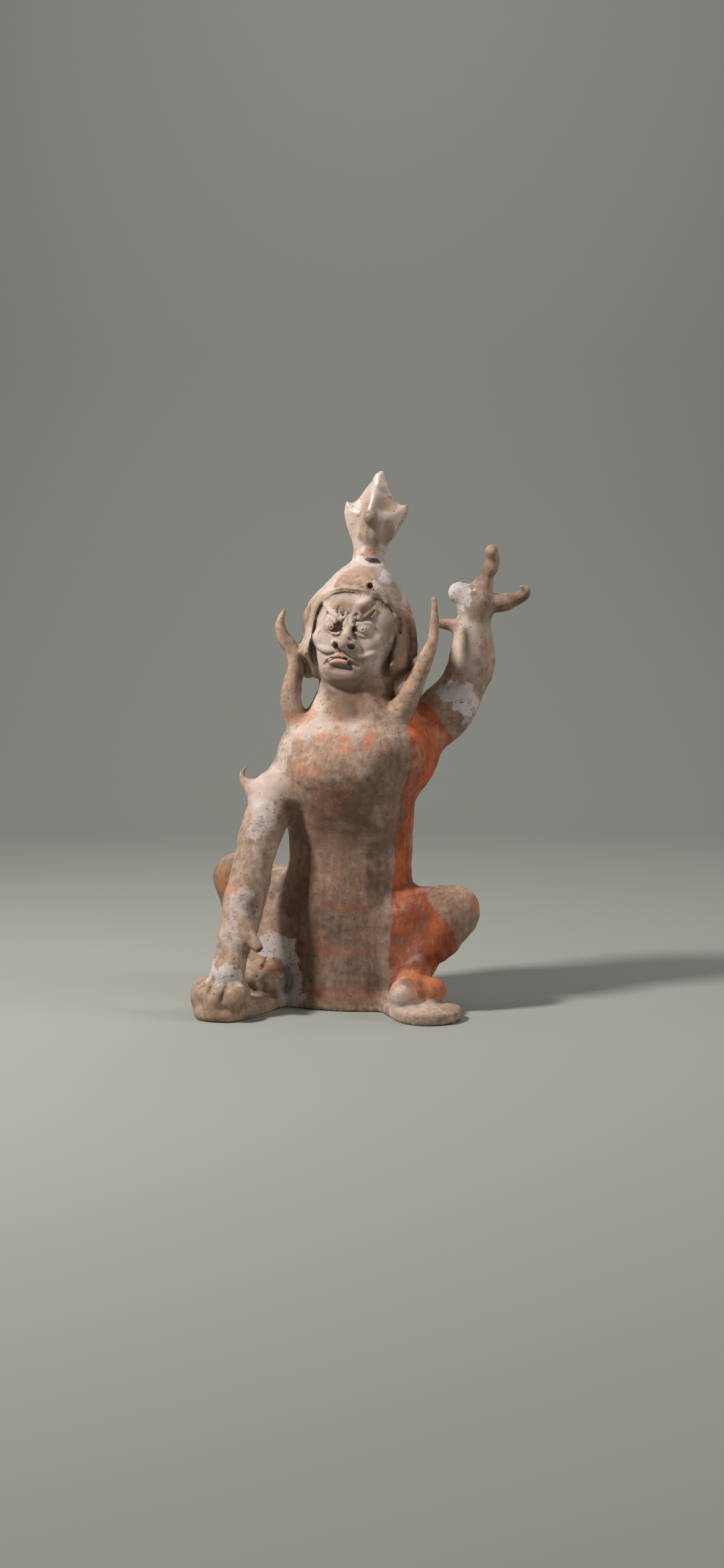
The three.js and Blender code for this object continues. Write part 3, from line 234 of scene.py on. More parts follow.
@dataclass(frozen=True)
class Loft:
    """Upright body with rows of height, centre x, centre y, half width and half depth."""

    rows: Rows
    squareness: float

    def distance(self, points: Array) -> Array:
        """Distance to the side, read from a table with one slice for each millimetre.

        Args:
            points: Three rows of x, y and z.

        Returns:
            One distance for each point.
        """
        rows = np.array(self.rows, float)
        low, high = rows[0, 0], rows[-1, 0]
        heights = np.arange(low, high + 2)
        slices = eased_rows(rows, heights)
        flare = np.abs(np.gradient(slices[:, 2:], axis=0)).max(1)
        table = np.column_stack([slices, 1 / np.hypot(1, flare)])
        x, y, z = points
        cx, cy, wide, long, slope = (np.interp(z, heights, column) for column in table.T)
        side = oval(x - cx, y - cy, wide, long, self.squareness) * slope
        return np.maximum(side, np.maximum(low - z, z - high)).astype(points.dtype)

    def front(self, across: float, up: float) -> float:
        """The y of the front at a place across and up."""
        cx, cy, wide, long = eased_rows(np.array(self.rows, float), np.array([up]))[0]
        share = min(abs(across - cx) / wide, 1) ** self.squareness
        return cy - long * (1 - share) ** (1 / self.squareness)

    def box(self) -> Array:
        """Lowest and highest corner."""
        rows = np.array(self.rows, float)
        reach = (np.abs(rows[:, 1:3]) + rows[:, 3:5]).max()
        return np.array([[-reach, -reach, rows[0, 0]], [reach, reach, rows[-1, 0]]])


@dataclass(frozen=True)
class Turned:
    """A shape carried from the head's own frame into the figure's."""

    shape: Shape
    turn: Array
    centre: Array

    def distance(self, points: Array) -> Array:
        """Distance of the points, after they are turned back into the head's frame."""
        own = self.turn.T.astype(points.dtype) @ (points - self.centre.astype(points.dtype)[:, None])
        return self.shape.distance(own)

    def box(self) -> Array:
        """Lowest and highest corner."""
        xs, ys, zs = self.shape.box().T
        corners = np.array([[x, y, z] for x in xs for y in ys for z in zs])
        placed = corners @ self.turn.T + self.centre
        return np.array([placed.min(0), placed.max(0)])


@dataclass(frozen=True)
class Step:
    """One step of the modelling: a shape put on or cut away, with a soft join."""

    shape: Shape
    join: float
    mode: Mode = Mode.ADD


def weld(a: Array, b: Array, join: float) -> Array:
    """Smooth union: the smaller distance, less a quarter of the squared overlap over the join."""
    overlap = np.maximum(join - np.abs(a - b), 0)
    return np.minimum(a, b) - overlap * overlap * (0.25 / join)


class Clay:
    """The figure's whole field, made of steps in order."""

    def __init__(self, steps: Sequence[Step]) -> None:
        """Keeps the steps and their boxes.

        Args:
            steps: The steps in the order that they are modelled.
        """
        self.steps = list(steps)
        self.boxes = [step.shape.box() for step in self.steps]

    def box(self) -> Array:
        """Lowest and highest corner of everything that is put on."""
        added = np.array([box for step, box in zip(self.steps, self.boxes) if step.mode is Mode.ADD])
        return np.array([added[:, 0].min(0), added[:, 1].max(0)])

    def distance(self, points: Array) -> Array:
        """Distance to the clay's surface. A shape is only worked out where it can matter.

        Args:
            points: Three rows of x, y and z.

        Returns:
            One distance for each point, negative in the clay.
        """
        level = np.full(points.shape[1], np.inf, points.dtype)
        for step, (low, high) in zip(self.steps, self.boxes):
            outside = np.maximum(np.maximum(low[:, None] - points, points - high[:, None]), 0)
            away = np.sqrt(np.square(outside).sum(0))
            near = np.flatnonzero(away <= step.mode.value * level + step.join)
            if near.size:
                own = step.shape.distance(points[:, near])
                signed = step.mode.value * level[near]
                level[near] = step.mode.value * weld(signed, own, step.join)
        return level

    def slope(self, points: Array, reach: float = 0.25) -> tuple[Array, Array]:
        """Distance and its gradient, from four corners of a small tetrahedron.

        Args:
            points: Three rows of x, y and z.
            reach: Size of the tetrahedron.

        Returns:
            The mean distance and three rows of gradient.
        """
        corners = np.array([[1, -1, -1], [-1, -1, 1], [-1, 1, -1], [1, 1, 1]], points.dtype)
        levels = [self.distance(points + corner[:, None] * points.dtype.type(reach)) for corner in corners]
        gradient = sum(corner[:, None] * level for corner, level in zip(corners, levels)) / (4 * reach)
        return sum(levels) / 4, gradient


@dataclass(frozen=True)
class Joins:
    """Widths of the soft joins between parts."""

    body: float = 22
    limb: float = 14
    foot: float = 14
    toe: float = 9
    small: float = 6
    face: float = 4
    fine: float = 2.2
    cut: float = 2
    sharp: float = 1.4


JOINS = Joins()


@dataclass(frozen=True)
class Torso:
    """Trunk on its haunches, with a spine and a short tail laid against the rump."""

    trunk: Rows = (
        (-40, 0, 4, 92, 92),
        (0, 0, 2, 84, 86),
        (40, 0, 0, 77, 79),
        (110, 0, 0, 76, 75),
        (172, 0, 1, 76, 67),
        (205, 1, -1, 78, 70),
        (238, 2.5, -5, 80.5, 80),
        (264, 5, -8, 86, 87),
        (286, 7, -8, 90, 85),
        (312, 8.5, -4, 86.5, 74),
        (334, 8, 3, 69, 58),
        (346, 8, 5, 60, 53),
        (356, 8, 5, 54, 49),
        (372, 9, 5, 48.5, 45),
        (420, 8, 9, 44, 37),
    )
    squareness: float = 2.3
    rump: Ellipsoid = Ellipsoid((0, 42, 36), (78, 62, 70))
    haunches: Sequence[Ellipsoid] = (
        Ellipsoid((60, -4, 50), (56, 58, 66)),
        Ellipsoid((-68, -2, 54), (60, 58, 72)),
        Ellipsoid((90, -44, 34), (24, 29, 36)),
    )
    shoulders: Sequence[Ellipsoid] = (
        Ellipsoid((-54, -14, 258), (39, 40, 54)),
        Ellipsoid((62, 12, 286), (46, 44, 48)),
    )
    spine: Rows = ((4, 68, 320, 9), (2, 72, 250, 9), (0, 74, 160, 10), (0, 88, 90, 11))
    tail: Rows = ((0, 92, 70, 12), (10, 100, 44, 11), (30, 98, 22, 10), (52, 88, 12, 9), (66, 74, 16, 6))

    def steps(self) -> list[Step]:
        """The trunk's steps of modelling."""
        eggs = [self.rump, *self.haunches]
        return [Step(Loft(self.trunk, self.squareness), JOINS.body), *(Step(egg, JOINS.body) for egg in eggs)]

    def late_steps(self) -> list[Step]:
        """What goes on after the thighs: shoulders, spine and tail."""
        shoulders = [Step(egg, JOINS.body) for egg in self.shoulders]
        return [*shoulders, Step(Tube(self.spine), JOINS.limb), Step(Tube(self.tail), JOINS.small)]


@dataclass(frozen=True)
class HindLegs:
    """Folded hind legs with two toes each."""

    thighs: Sequence[Rows] = (
        ((40, 12, 52, 60), (84, -8, 74, 47), (116, -16, 90, 36), (139.5, -20, 98, 29)),
        ((-40, 12, 60, 58), (-84, -8, 92, 46), (-120, -16, 118, 34), (-142, -21, 130, 28.5)),
    )
    shanks: Sequence[Rows] = (
        (
            (138.5, -20, 97, 28.5), (129, -41, 68, 25), (108, -57, 44, 18),
            (104, -69, 24, 16.5), (105, -80, 8, 17),
        ),
        (
            (-142, -21, 128, 27.5), (-130, -30, 88, 26), (-106, -42, 52, 22),
            (-90, -52, 26, 20), (-86, -66, 10, 19),
        ),
    )
    toes: Sequence[Ellipsoid] = (
        Ellipsoid((102, -93, 7), (22, 30, 21)),
        Ellipsoid((128, -75, 7), (15, 24, 16)),
        Ellipsoid((-99, -76, 14), (17, 26, 18)),
        Ellipsoid((-78, -76, 8), (16, 24, 17)),
    )
    creases: Sequence[Rows] = (
        ((122, -98, 20, 2), (120, -86, 27, 2.4), (117, -74, 32, 1.6)),
        ((-91, -92, 14, 1.6), (-88, -82, 24, 2.2), (-86, -68, 34, 1.6)),
    )

    def steps(self) -> list[Step]:
        """Thighs, then shanks."""
        thighs = [Step(Tube(rows), JOINS.body) for rows in self.thighs]
        return [*thighs, *(Step(Tube(rows), JOINS.limb) for rows in self.shanks)]

    def toe_steps(self) -> list[Step]:
        """The toes, pressed on once the slab is there, and the creases between them."""
        creases = [Step(Tube(rows), JOINS.face, Mode.CUT) for rows in self.creases]
        return [*(Step(egg, JOINS.toe) for egg in self.toes), *creases]


@dataclass(frozen=True)
class PlantedForeleg:
    """Right foreleg planted on the slab, with a thorn at the elbow and a broken dewclaw."""

    leg: Rows = (
        (-54, -18, 258, 34),
        (-72, -48, 240, 33),
        (-83, -78, 214, 27),
        (-90, -101, 165, 24),
        (-95, -121, 118, 26),
        (-97, -135, 87, 23.5),
        (-102, -149, 57, 20),
        (-104, -160, 30, 21),
    )
    paw: Sequence[Ellipsoid] = (
        Ellipsoid((-112, -150, 0), (31, 38, 33)),
        Ellipsoid((-136, -150, 2), (16, 27, 23)),
        Ellipsoid((-110, -165, -14), (34, 28, 17)),
    )
    toes: Sequence[Ellipsoid] = (
        Ellipsoid((-125, -174, 10), (11, 13, 12)),
        Ellipsoid((-107, -178, 6), (13, 16, 15)),
        Ellipsoid((-88, -172, 6), (15, 20, 17)),
    )
    grooves: Sequence[Rows] = (
        ((-116, -182, 18, 1.6), (-117, -192, 6, 2.4), (-118, -192, -8, 2)),
        ((-98, -182, 18, 1.8), (-99, -194, 4, 3), (-101, -195, -10, 2.4)),
    )
    dewclaw: Rows = ((-98, -140, 88, 14), (-86, -146, 80, 10.5), (-76, -150, 73, 7.5), (-67, -152, 64, 5.5))
    web: Rows = ((-70, -44, 250, 12), (-90, -52, 248, 9.6), (-110, -60, 250, 5.4))
    thorn: Rows = (
        (-94, -66, 234, 16),
        (-108, -63, 246, 9),
        (-119, -59, 255, 5),
        (-122, -57, 263, 3.4),
        (-118.5, -56, 270, 2.6),
        (-112.5, -55, 272.5, 1.8),
    )

    def steps(self) -> list[Step]:
        """The leg with its thorn and claw."""
        return [
            Step(Tube(self.leg), JOINS.limb),
            Step(Tube(self.dewclaw), JOINS.small),
            Step(Tube(self.web), JOINS.limb),
            Step(Tube(self.thorn), JOINS.small),
        ]

    def paw_steps(self) -> list[Step]:
        """Paw and toes, pressed on once the slab is there, and the grooves between them."""
        return [
            *(Step(egg, JOINS.small) for egg in (*self.paw, *self.toes)),
            *(Step(Tube(rows), JOINS.face, Mode.CUT) for rows in self.grooves),
        ]


@dataclass(frozen=True)
class RaisedForeleg:
    """Left foreleg thrown up, with two claws left of three and a ragged flange."""

    arm: Rows = (
        (60, 22, 298, 37),
        (86, 37, 316, 34.5),
        (109, 47, 338, 34.5),
        (123, 55, 357, 31),
        (131, 60, 375, 28),
        (135.5, 63, 392, 26.5),
        (139, 64, 415, 25),
        (141, 64, 438, 21.5),
        (143, 65, 460, 18.5),
    )
    palm: Ellipsoid = Ellipsoid((143, 65, 474), (22, 17, 24))
    claws: Sequence[Rows] = (
        (
            (148, 67, 484, 15), (153, 68, 498, 12.5), (157, 68, 508, 9.6),
            (162, 67, 517, 10.4), (166, 65, 528, 7.4), (165, 60, 538, 8),
        ),
        (
            (150, 67, 476, 15), (167, 72, 474, 11.4), (182, 75, 476, 11.6), (195, 75, 479, 8.2),
            (204, 73, 484, 7.4), (208, 69, 490, 5), (203, 66, 494, 3.4),
        ),
        ((138, 62, 476, 15), (131, 59, 482, 15), (125, 57, 487, 14)),
    )
    spur: Rows = (
        (138, 64, 445, 13), (125, 61, 446, 10), (111, 58, 447.5, 7.5), (100, 53, 449, 5), (89, 46, 452, 2.2),
    )
    flange: Rows = (
        (157, 75, 436, 4.5), (159, 80, 411, 6), (160, 82, 390, 4.5),
        (147, 77, 364, 5.5), (134, 72, 342, 4.5), (120, 64, 322, 5.5),
    )

    def steps(self) -> list[Step]:
        """The arm, the flange, the palm, the claws and the spur."""
        return [
            Step(Tube(self.arm), JOINS.limb),
            Step(Tube(self.flange), JOINS.small),
            Step(self.palm, JOINS.limb),
            *(Step(Tube(rows), JOINS.small) for rows in self.claws),
            Step(Tube(self.spur), JOINS.small),
        ]


@dataclass(frozen=True)
class Wings:
    """The two narrow shoulder wings, each a bent tapering roll."""

    rolls: Sequence[Rows] = (
        (
            (-52, -26, 310, 18), (-60, -31, 332, 14), (-66, -33, 354, 13.5),
            (-64, -32, 378, 11.5), (-60, -31, 399, 9.5), (-65, -32, 417, 9),
            (-76, -36, 433, 8), (-79, -37, 449, 6), (-74, -35, 465, 3),
        ),
        (
            (54, -16, 308, 22), (65, -18, 328, 17.5), (75, -18, 349, 15), (86, -13, 374, 12.5),
            (98, -5, 402, 9.5), (105, 3, 429, 7.5), (106, 9, 454, 5.5), (104, 14, 478, 3),
        ),
    )

    def steps(self) -> list[Step]:
        """One roll for each wing."""
        return [Step(Tube(rows), JOINS.small) for rows in self.rolls]


@dataclass(frozen=True)
class Slab:
    """Low slab under the figure, with a lobe under each foot and a rounded upper edge."""

    thickness: float = SLAB_THICKNESS
    edge: float = 4
    bevel: float = 8
    bevel_width: float = 38
    weld_width: float = 18
    middle: Rows = ((0, 12), (104, 92))
    plan_box: Rows = ((-190, -215), (190, 130))
    room_below: float = 10
    lobes: Sequence[Rows] = (
        ((-95, -70), (-108, -146), (34,)),
        ((85, -40), (129, -99), (39.5,)),
        ((-92, -30), (-103, -72), (38,)),
    )

    def distance(self, points: Array) -> Array:
        """Distance to the slab: an oval and three capsules in plan, its top sloping to the rim.

        Args:
            points: Three rows of x, y and z.

        Returns:
            One distance for each point.
        """
        x, y, z = points
        (cx, cy), (wide, long) = self.middle
        plan = oval(x - cx, y - cy, wide, long, 2)
        for start, end, (radius,) in self.lobes:
            lobe = Tube(((*start, 0, radius), (*end, 0, radius)), 1)
            flat = np.stack([x, y, np.zeros_like(z)])
            plan = weld(plan, lobe.distance(flat), self.weld_width)
        bevel = self.bevel * np.clip(1 + plan / self.bevel_width, 0, 1)
        out, over = plan + self.edge, z + bevel + self.edge
        corner = np.hypot(np.maximum(out, 0), np.maximum(over, 0))
        return (np.minimum(np.maximum(out, over), 0) + corner - self.edge).astype(points.dtype)

    def box(self) -> Array:
        """Lowest and highest corner."""
        low, high = self.plan_box
        return np.array([[*low, -self.thickness - self.room_below], [*high, 0]], float)


@dataclass(frozen=True)
class HornPlate:
    """Horn: a plate that grows thicker towards its middle, like a bud.

    The outline is drawn as height above the waist and half width, for its left and its right.
    """

    waist: Vec = (2, 5, 94)
    left: Rows = (
        (-6, 16.5), (10, 18), (24, 23), (40, 31), (54, 36), (64, 38), (72.5, 37.5), (71, 30.5),
        (74.5, 23.5), (81, 18.5), (89, 13.5), (100, 6.5), (109.5, 0.5),
    )
    right: Rows = (
        (-6, 16.5), (10, 18), (24, 24), (40, 32.2), (54, 37.4), (62, 38.6), (68, 38), (66.5, 30.5),
        (71, 24), (79, 18.5), (88, 13.5), (99, 6.5), (109.5, 0.5),
    )
    edge: float = 3.2
    slope: float = 0.42
    rounding: float = 1
    box_room: float = 2

    def loop(self) -> Array:
        """The closed outline as rows of x and z."""
        x, _, z = self.waist
        left = np.array([(x + half, z + height) for height, half in self.left])
        right = np.array([(x - half, z + height) for height, half in reversed(self.right)])
        return np.vstack([left, right])

    def distance(self, points: Array) -> Array:
        """Distance to the plate, from the distance to its outline in the plane.

        Args:
            points: Three rows of x, y and z.

        Returns:
            One distance for each point.
        """
        x, y, z = points
        flat = outline_distance(self.loop(), x, z)
        off = np.abs(y - self.waist[1])
        within = np.maximum((off - self.edge + self.slope * flat) / np.hypot(1, self.slope), flat)
        beyond = np.hypot(flat, np.maximum(off - self.edge, 0))
        return (np.where(flat > 0, beyond, within) - self.rounding).astype(points.dtype)

    def box(self) -> Array:
        """Lowest and highest corner."""
        loop = self.loop()
        (x0, z0), (x1, z1) = loop.min(0), loop.max(0)
        thick = self.edge + self.slope * (x1 - x0) / 2
        low = [x0 - self.box_room, self.waist[1] - thick, z0]
        return np.array([low, [x1 + self.box_room, self.waist[1] + thick, z1 + self.box_room]])


@dataclass(frozen=True)
class OpenHood:
    """Hood of hair round the face, with an upright oval left open for the face."""

    rows: Rows = (
        (-63, 4, 22, 38, 28),
        (-53, 5, 20, 57, 40),
        (-42, 4, 15, 68, 52),
        (-34, 4, 11, 76, 62),
        (-26, 4.5, 11, 74.5, 61),
        (-10, 4.5, 11, 69, 58),
        (10, 4, 10, 66, 57),
        (36, 3.5, 9, 62.5, 56),
        (58, 4, 8, 48, 48),
        (76, 4, 6, 34, 33),
        (92, 4, 5, 20, 20),
        (112, 3, 5, 16, 15),
    )
    squareness: float = 2.1
    opening: Rows = ((6.5, -10), (52.5, 57))
    opening_squareness: float = 3
    back: float = -19
    rim_height: float = 2.6
    rim_middle: float = 4.5
    rim_width: float = 3.6
    rim_fade: float = 20

    def distance(self, points: Array) -> Array:
        """The hood's distance, cut by the opening's, with a raised rim beside the opening.

        Args:
            points: Three rows of x, y and z.

        Returns:
            One distance for each point.
        """
        x, y, z = points
        (cx, cz), (wide, tall) = self.opening
        aside = oval(x - cx, z - cz, wide, tall, self.opening_squareness)
        front = np.clip(-y / self.rim_fade, 0, 1)
        rim = self.rim_height * np.exp(-(((aside - self.rim_middle) / self.rim_width) ** 2)) * front
        hood = Loft(self.rows, self.squareness).distance(points) - rim
        return np.maximum(hood, -np.maximum(aside, y - self.back)).astype(points.dtype)

    def box(self) -> Array:
        """Lowest and highest corner."""
        low, high = Loft(self.rows, self.squareness).box()
        return np.array([low - self.rim_height, high + self.rim_height])


@dataclass(frozen=True)
class Face:
    """Scowling face: eyes under curled brows, a broad nose, a moustache and a small mouth.

    Everything is drawn on the base form, in the head's frame. A row of a roll has the place
    across and up, the lift of its middle over the base form, and its radius. A lump has the
    same place and lift, then its half width, half depth and half height.
    """

    base: Loft = Loft(
        (
            (-76, 6, -10, 9, 9),
            (-72, 6, -9, 20, 18),
            (-66, 6, -8, 29.5, 27),
            (-58, 6, -7.5, 36.5, 35),
            (-47, 7, -7, 43.5, 41.5),
            (-24, 7, -6, 50, 46),
            (0, 6.5, -6, 53, 48),
            (10, 6.5, -6, 53.5, 47.5),
            (24, 6.5, -6, 52, 44.5),
            (35, 6, -5.5, 49, 41.5),
            (44, 5.5, -5, 46, 38),
            (56, 5, -4, 40, 33),
            (66, 4.5, -2, 28, 26),
        ),
        2.2,
    )
    chin: Rows = ((-6, -50, -8, 15, 11, 8), (6, -55, -13, 25, 17, 12))
    cheeks: Rows = ((-31, -13, -11, 12, 10.5, 12), (33, -8, -9, 15, 11, 13))
    forehead: Rows = ((-25, 36, -9, 13, 9.5, 9), (14, 40, -7.5, 13, 9.5, 8), (-17, 22, -4, 8, 7, 9))
    sockets: Rows = (
        (-15.5, 3.5, 1.5, 12, 7.5, 11.5),
        (23, 5, 1.5, 14, 7, 9.5),
        (-7, 3, 1, 5, 6.5, 7),
        (12.5, 4, 1, 5, 7.5, 8),
    )
    balls: Rows = ((-20, 4, -4.5, 9.5, 8.5, 10), (21.5, 5, -4.2, 11.5, 8.5, 8.5))
    pupils: Rows = ((-18.5, 1.5, 3.6), (21.5, 4, 3.6))
    pupil_radius: float = 4.6
    pupil_depth: float = 2.4
    ring_radius: float = 2.76
    ring_forward: float = 2
    ring_width: float = 0.9
    ring_corners: int = 8
    lids: Sequence[Rows] = (
        (
            (-28, 7, -0.5, 1.4), (-25, 1, 0, 1.8), (-20, -3.5, 0, 2),
            (-14, -6.5, 0.5, 2), (-8, -6, 0.5, 2), (-2, 1, 1.5, 1.3),
        ),
        (
            (-26, 8, 1, 1.5), (-25, 13, 1.5, 2.4), (-19.5, 11.5, 2.5, 2.8),
            (-14, 8, 3, 2.6), (-11, 5, 2.5, 1.6),
        ),
        (
            (14, -2, 0.5, 1.4), (20, -4.5, 0, 1.9), (27, -4, 0, 2),
            (32.5, 0, -0.5, 1.8), (35.5, 5.5, -0.5, 1.2),
        ),
        (
            (14.5, 8, 2, 1.8), (19.5, 9.5, 2.5, 2.2), (25.5, 11.5, 2, 2.8),
            (30.5, 11, 1.5, 2.6), (33.5, 7, 0.5, 1.6),
        ),
    )
    lid_slits: Sequence[Rows] = (
        ((-29.5, 7, 0.5, 1.2), (-29.5, 13, 1, 1.8), (-26, 17, 1.5, 1.9), (-21.5, 16, 2.5, 1.2)),
        (
            (23.5, 14.5, 3, 1), (27.5, 16.5, 2.5, 1.5), (31.5, 16, 2, 1.6),
            (34.5, 12.5, 1.5, 1.6), (36, 7, 1, 1.2),
        ),
    )
    brows: Sequence[Rows] = (
        (
            (-36, 32, -2.5, 2.5), (-30, 27, -1, 3.8), (-23, 22, 0, 5),
            (-16.5, 17.5, 1, 5.4), (-11, 14, 1.5, 5.2), (-5, 12, 2, 3.6),
        ),
        ((10, 19.5, 1, 6), (13, 27, 1, 7.6), (17, 33, -0.5, 7.2), (20.5, 38, -2, 5), (24, 41, -3.5, 2.5)),
        ((7, 15.5, 1.5, 3.4), (14.5, 15, 1.5, 4.6), (21, 18, 1, 4.6), (25, 24, -0.5, 4), (29, 30, -1.5, 2.6)),
        ((9, 11, 2, 1.4), (16.5, 10.5, 2.5, 1.9), (23, 13.5, 2, 2), (28, 19, 1.5, 1.8), (32, 28, 0, 1)),
    )
    brow_creases: Sequence[Rows] = (
        (
            (10, 13, 5, 1), (16.5, 12.6, 5, 1.4), (23, 15.8, 4.5, 1.4),
            (27.5, 21.5, 3, 1.3), (31, 28, 1.5, 0.9),
        ),
        ((-12.5, 27, 2, 1.2), (-12.2, 21, 4, 1.8), (-8.5, 15.5, 5, 1.5)),
    )
    curls: Sequence[Rows] = (
        (
            (-7, 14.5, 3.5, 1.7), (-7.5, 19.5, 3.5, 2.1), (-5, 22, 3.5, 2.3),
            (-1.5, 19.5, 4, 2.3), (-2, 15, 4, 2.1), (-4.5, 13, 4, 1.8),
        ),
        (
            (9, 13, 4.5, 2), (7, 17, 5.5, 2.4), (9, 21.5, 6, 2.5), (13, 22.5, 6, 2.5),
            (16.5, 19.5, 6.5, 2.4), (15.5, 16, 6, 2), (12.5, 16, 6, 1.6),
        ),
    )
    curl_pits: Rows = ((-4.4, 17.3, 6, 1.5, 3, 1.7), (12.6, 19, 7.5, 2.1, 3.4, 1.9))
    frown: Sequence[Rows] = (
        ((2, 17.5, 3, 1.2), (0.5, 11.5, 3.5, 1.9), (-1.5, 5.5, 3, 1.8)),
        ((2.5, 17.5, 3, 1.2), (6.5, 11.5, 3.5, 1.8), (11.5, 5, 3, 1.6)),
    )
    frown_grooves: Sequence[Rows] = (
        ((-1, 17, 4.5, 1), (-3, 11.5, 5, 1.4), (-5.5, 6, 4.5, 1.3)),
        ((5.5, 16.5, 5, 1), (9.5, 11, 5.5, 1.5), (14, 5, 4.5, 1.5)),
        ((4, 11, 5.5, 1), (4.5, 6.5, 5, 1.9)),
    )
    nose: Rows = (
        (3.5, 7, 1, 3), (4.5, 1, 2.5, 3.6), (4.5, -5.5, 3.5, 5.2), (3.5, -11.5, 4, 7.2), (2.5, -17, 4.5, 8),
    )
    nostril_wings: Rows = ((-8.5, -17.5, 2.5, 6.8, 7.2, 5.8), (11, -16, 2, 8.4, 7.2, 6))
    nostrils: Rows = ((-7.5, -20.5, 8, 3.5, 10, 3.3), (11.5, -19.8, 8, 4.6, 10, 3.1))
    nose_groove: Rows = (
        (8, -10.5, 8, 1), (14, -13, 7.5, 1.5), (18.5, -15, 5, 1.3), (22, -18.5, 2, 1), (24, -22, 1, 1.4),
    )
    folds: Sequence[Rows] = (
        ((-8.5, -12, 7.5, 1), (-10.5, -14, 7, 1)),
        ((-2, -25.5, 3.5, 1.3), (-2, -29, 4, 1.2)),
    )
    moustache: Sequence[Rows] = (
        (
            (-5, -26, 0.5, 1.8), (-11.5, -27, 0.5, 3), (-18, -27.5, 0.5, 3.8),
            (-25, -27, 0.5, 3.6), (-32, -24.5, 0, 2.6), (-38, -20.5, 0, 1),
        ),
        (
            (8.5, -26, 0.5, 1.8), (15, -27, 0, 2.8), (22, -28.5, 0, 3.3), (29, -28, 0, 3.3),
            (35.5, -24.5, 0, 2.9), (40.5, -20, 0, 2.3), (44.5, -15, 0, 1.6), (47, -10.5, 0, 1),
        ),
    )
    moustache_shade: Sequence[Rows] = (
        ((-34, -29.5, 1, 1.2), (-26, -33, 1.5, 1.7), (-17, -33.5, 1.5, 1.9), (-9, -31, 1.5, 1.4)),
        ((18, -33, 1.5, 1.4), (26, -34.5, 1.5, 1.8), (35, -32, 1.5, 1.8), (42, -26, 1, 1.3)),
    )
    mouth: Rows = (
        (-22, -45, 0.5, 1.5), (-16, -40.5, 0, 2.2), (-10.5, -37, -0.5, 2.6), (-3.5, -35, -0.5, 2.7),
        (5, -35.5, -0.5, 2.6), (13, -38.5, 0, 2.2), (22, -42, 0.5, 1.6),
    )
    lip_band: Rows = (
        (-17.5, -37.5, 0, 1.6), (-10.5, -34, 0, 2), (-3.5, -32, 0.5, 2.2),
        (5, -32.5, 0, 2), (13.5, -35.5, 0, 1.6),
    )
    upper_lip: Rows = ((-8.5, -34, 1.5, 1.5), (-3, -31, 1.5, 2.1), (2.5, -32.5, 1.5, 1.5))
    lower_lip: Rows = (
        (-15, -43, 0.5, 1.5), (-9, -40, 1, 2.5), (-3, -38.5, 1, 3), (4.5, -38.5, 1, 2.7), (11, -41, 0.5, 1.6),
    )
    lip_hollow: Rows = ((-7.5, -46.5, 1.5, 3), (1.5, -45.5, 1.5, 3.8), (11, -45, 1.5, 3.2))

    def place(self, across: float, up: float, lift: float) -> Vec:
        """Point in front of the base form by the lift."""
        return (across, self.base.front(across, up) - lift, up)

    def roll(self, rows: Rows) -> Tube:
        """Roll of clay laid on the base form."""
        return Tube([(*self.place(*row[:3]), row[3]) for row in rows])

    def lump(self, row: Sequence[float]) -> Ellipsoid:
        """Lump of clay pressed on the base form."""
        return Ellipsoid(self.place(*row[:3]), tuple(row[3:]))

    def rolls(self, curves: Sequence[Rows], join: float, mode: Mode = Mode.ADD) -> list[Step]:
        """One step for each of several rolls."""
        return [Step(self.roll(rows), join, mode) for rows in curves]

    def lumps(self, rows: Rows, join: float, mode: Mode = Mode.ADD) -> list[Step]:
        """One step for each of several lumps."""
        return [Step(self.lump(row), join, mode) for row in rows]

    def steps(self) -> list[Step]:
        """Steps in the head's own frame, from the base of the face to the mouth."""
        fine, cut, soft, small = JOINS.fine, JOINS.cut, JOINS.face, JOINS.small
        return [
            Step(self.base, soft),
            *self.lumps([*self.chin, *self.cheeks, *self.forehead], small),
            *self.lumps(self.sockets, soft, Mode.CUT),
            *self.lumps(self.balls, fine),
            *self.rolls(self.brows, soft),
            *self.rolls(self.brow_creases, fine, Mode.CUT),
            *self.rolls(self.lids, fine),
            *self.rolls(self.lid_slits, cut, Mode.CUT),
            *(step for row in self.pupils for step in self.pupil(self.place(*row))),
            *self.rolls(self.frown, fine),
            *self.rolls(self.frown_grooves, cut, Mode.CUT),
            *self.rolls(self.curls, fine),
            *self.lumps(self.curl_pits, JOINS.sharp, Mode.CUT),
            *self.rolls([self.nose], small),
            *self.lumps(self.nostril_wings, soft),
            *self.lumps(self.nostrils, JOINS.sharp, Mode.CUT),
            *self.rolls([self.nose_groove], cut, Mode.CUT),
            *self.rolls(self.folds, soft, Mode.CUT),
            *self.rolls(self.moustache, soft),
            *self.rolls(self.moustache_shade, fine, Mode.CUT),
            *self.rolls([self.lip_hollow], small, Mode.CUT),
            *self.rolls([self.lip_band], soft),
            *self.rolls([self.mouth], cut, Mode.CUT),
            *self.rolls([self.upper_lip, self.lower_lip], JOINS.sharp),
        ]

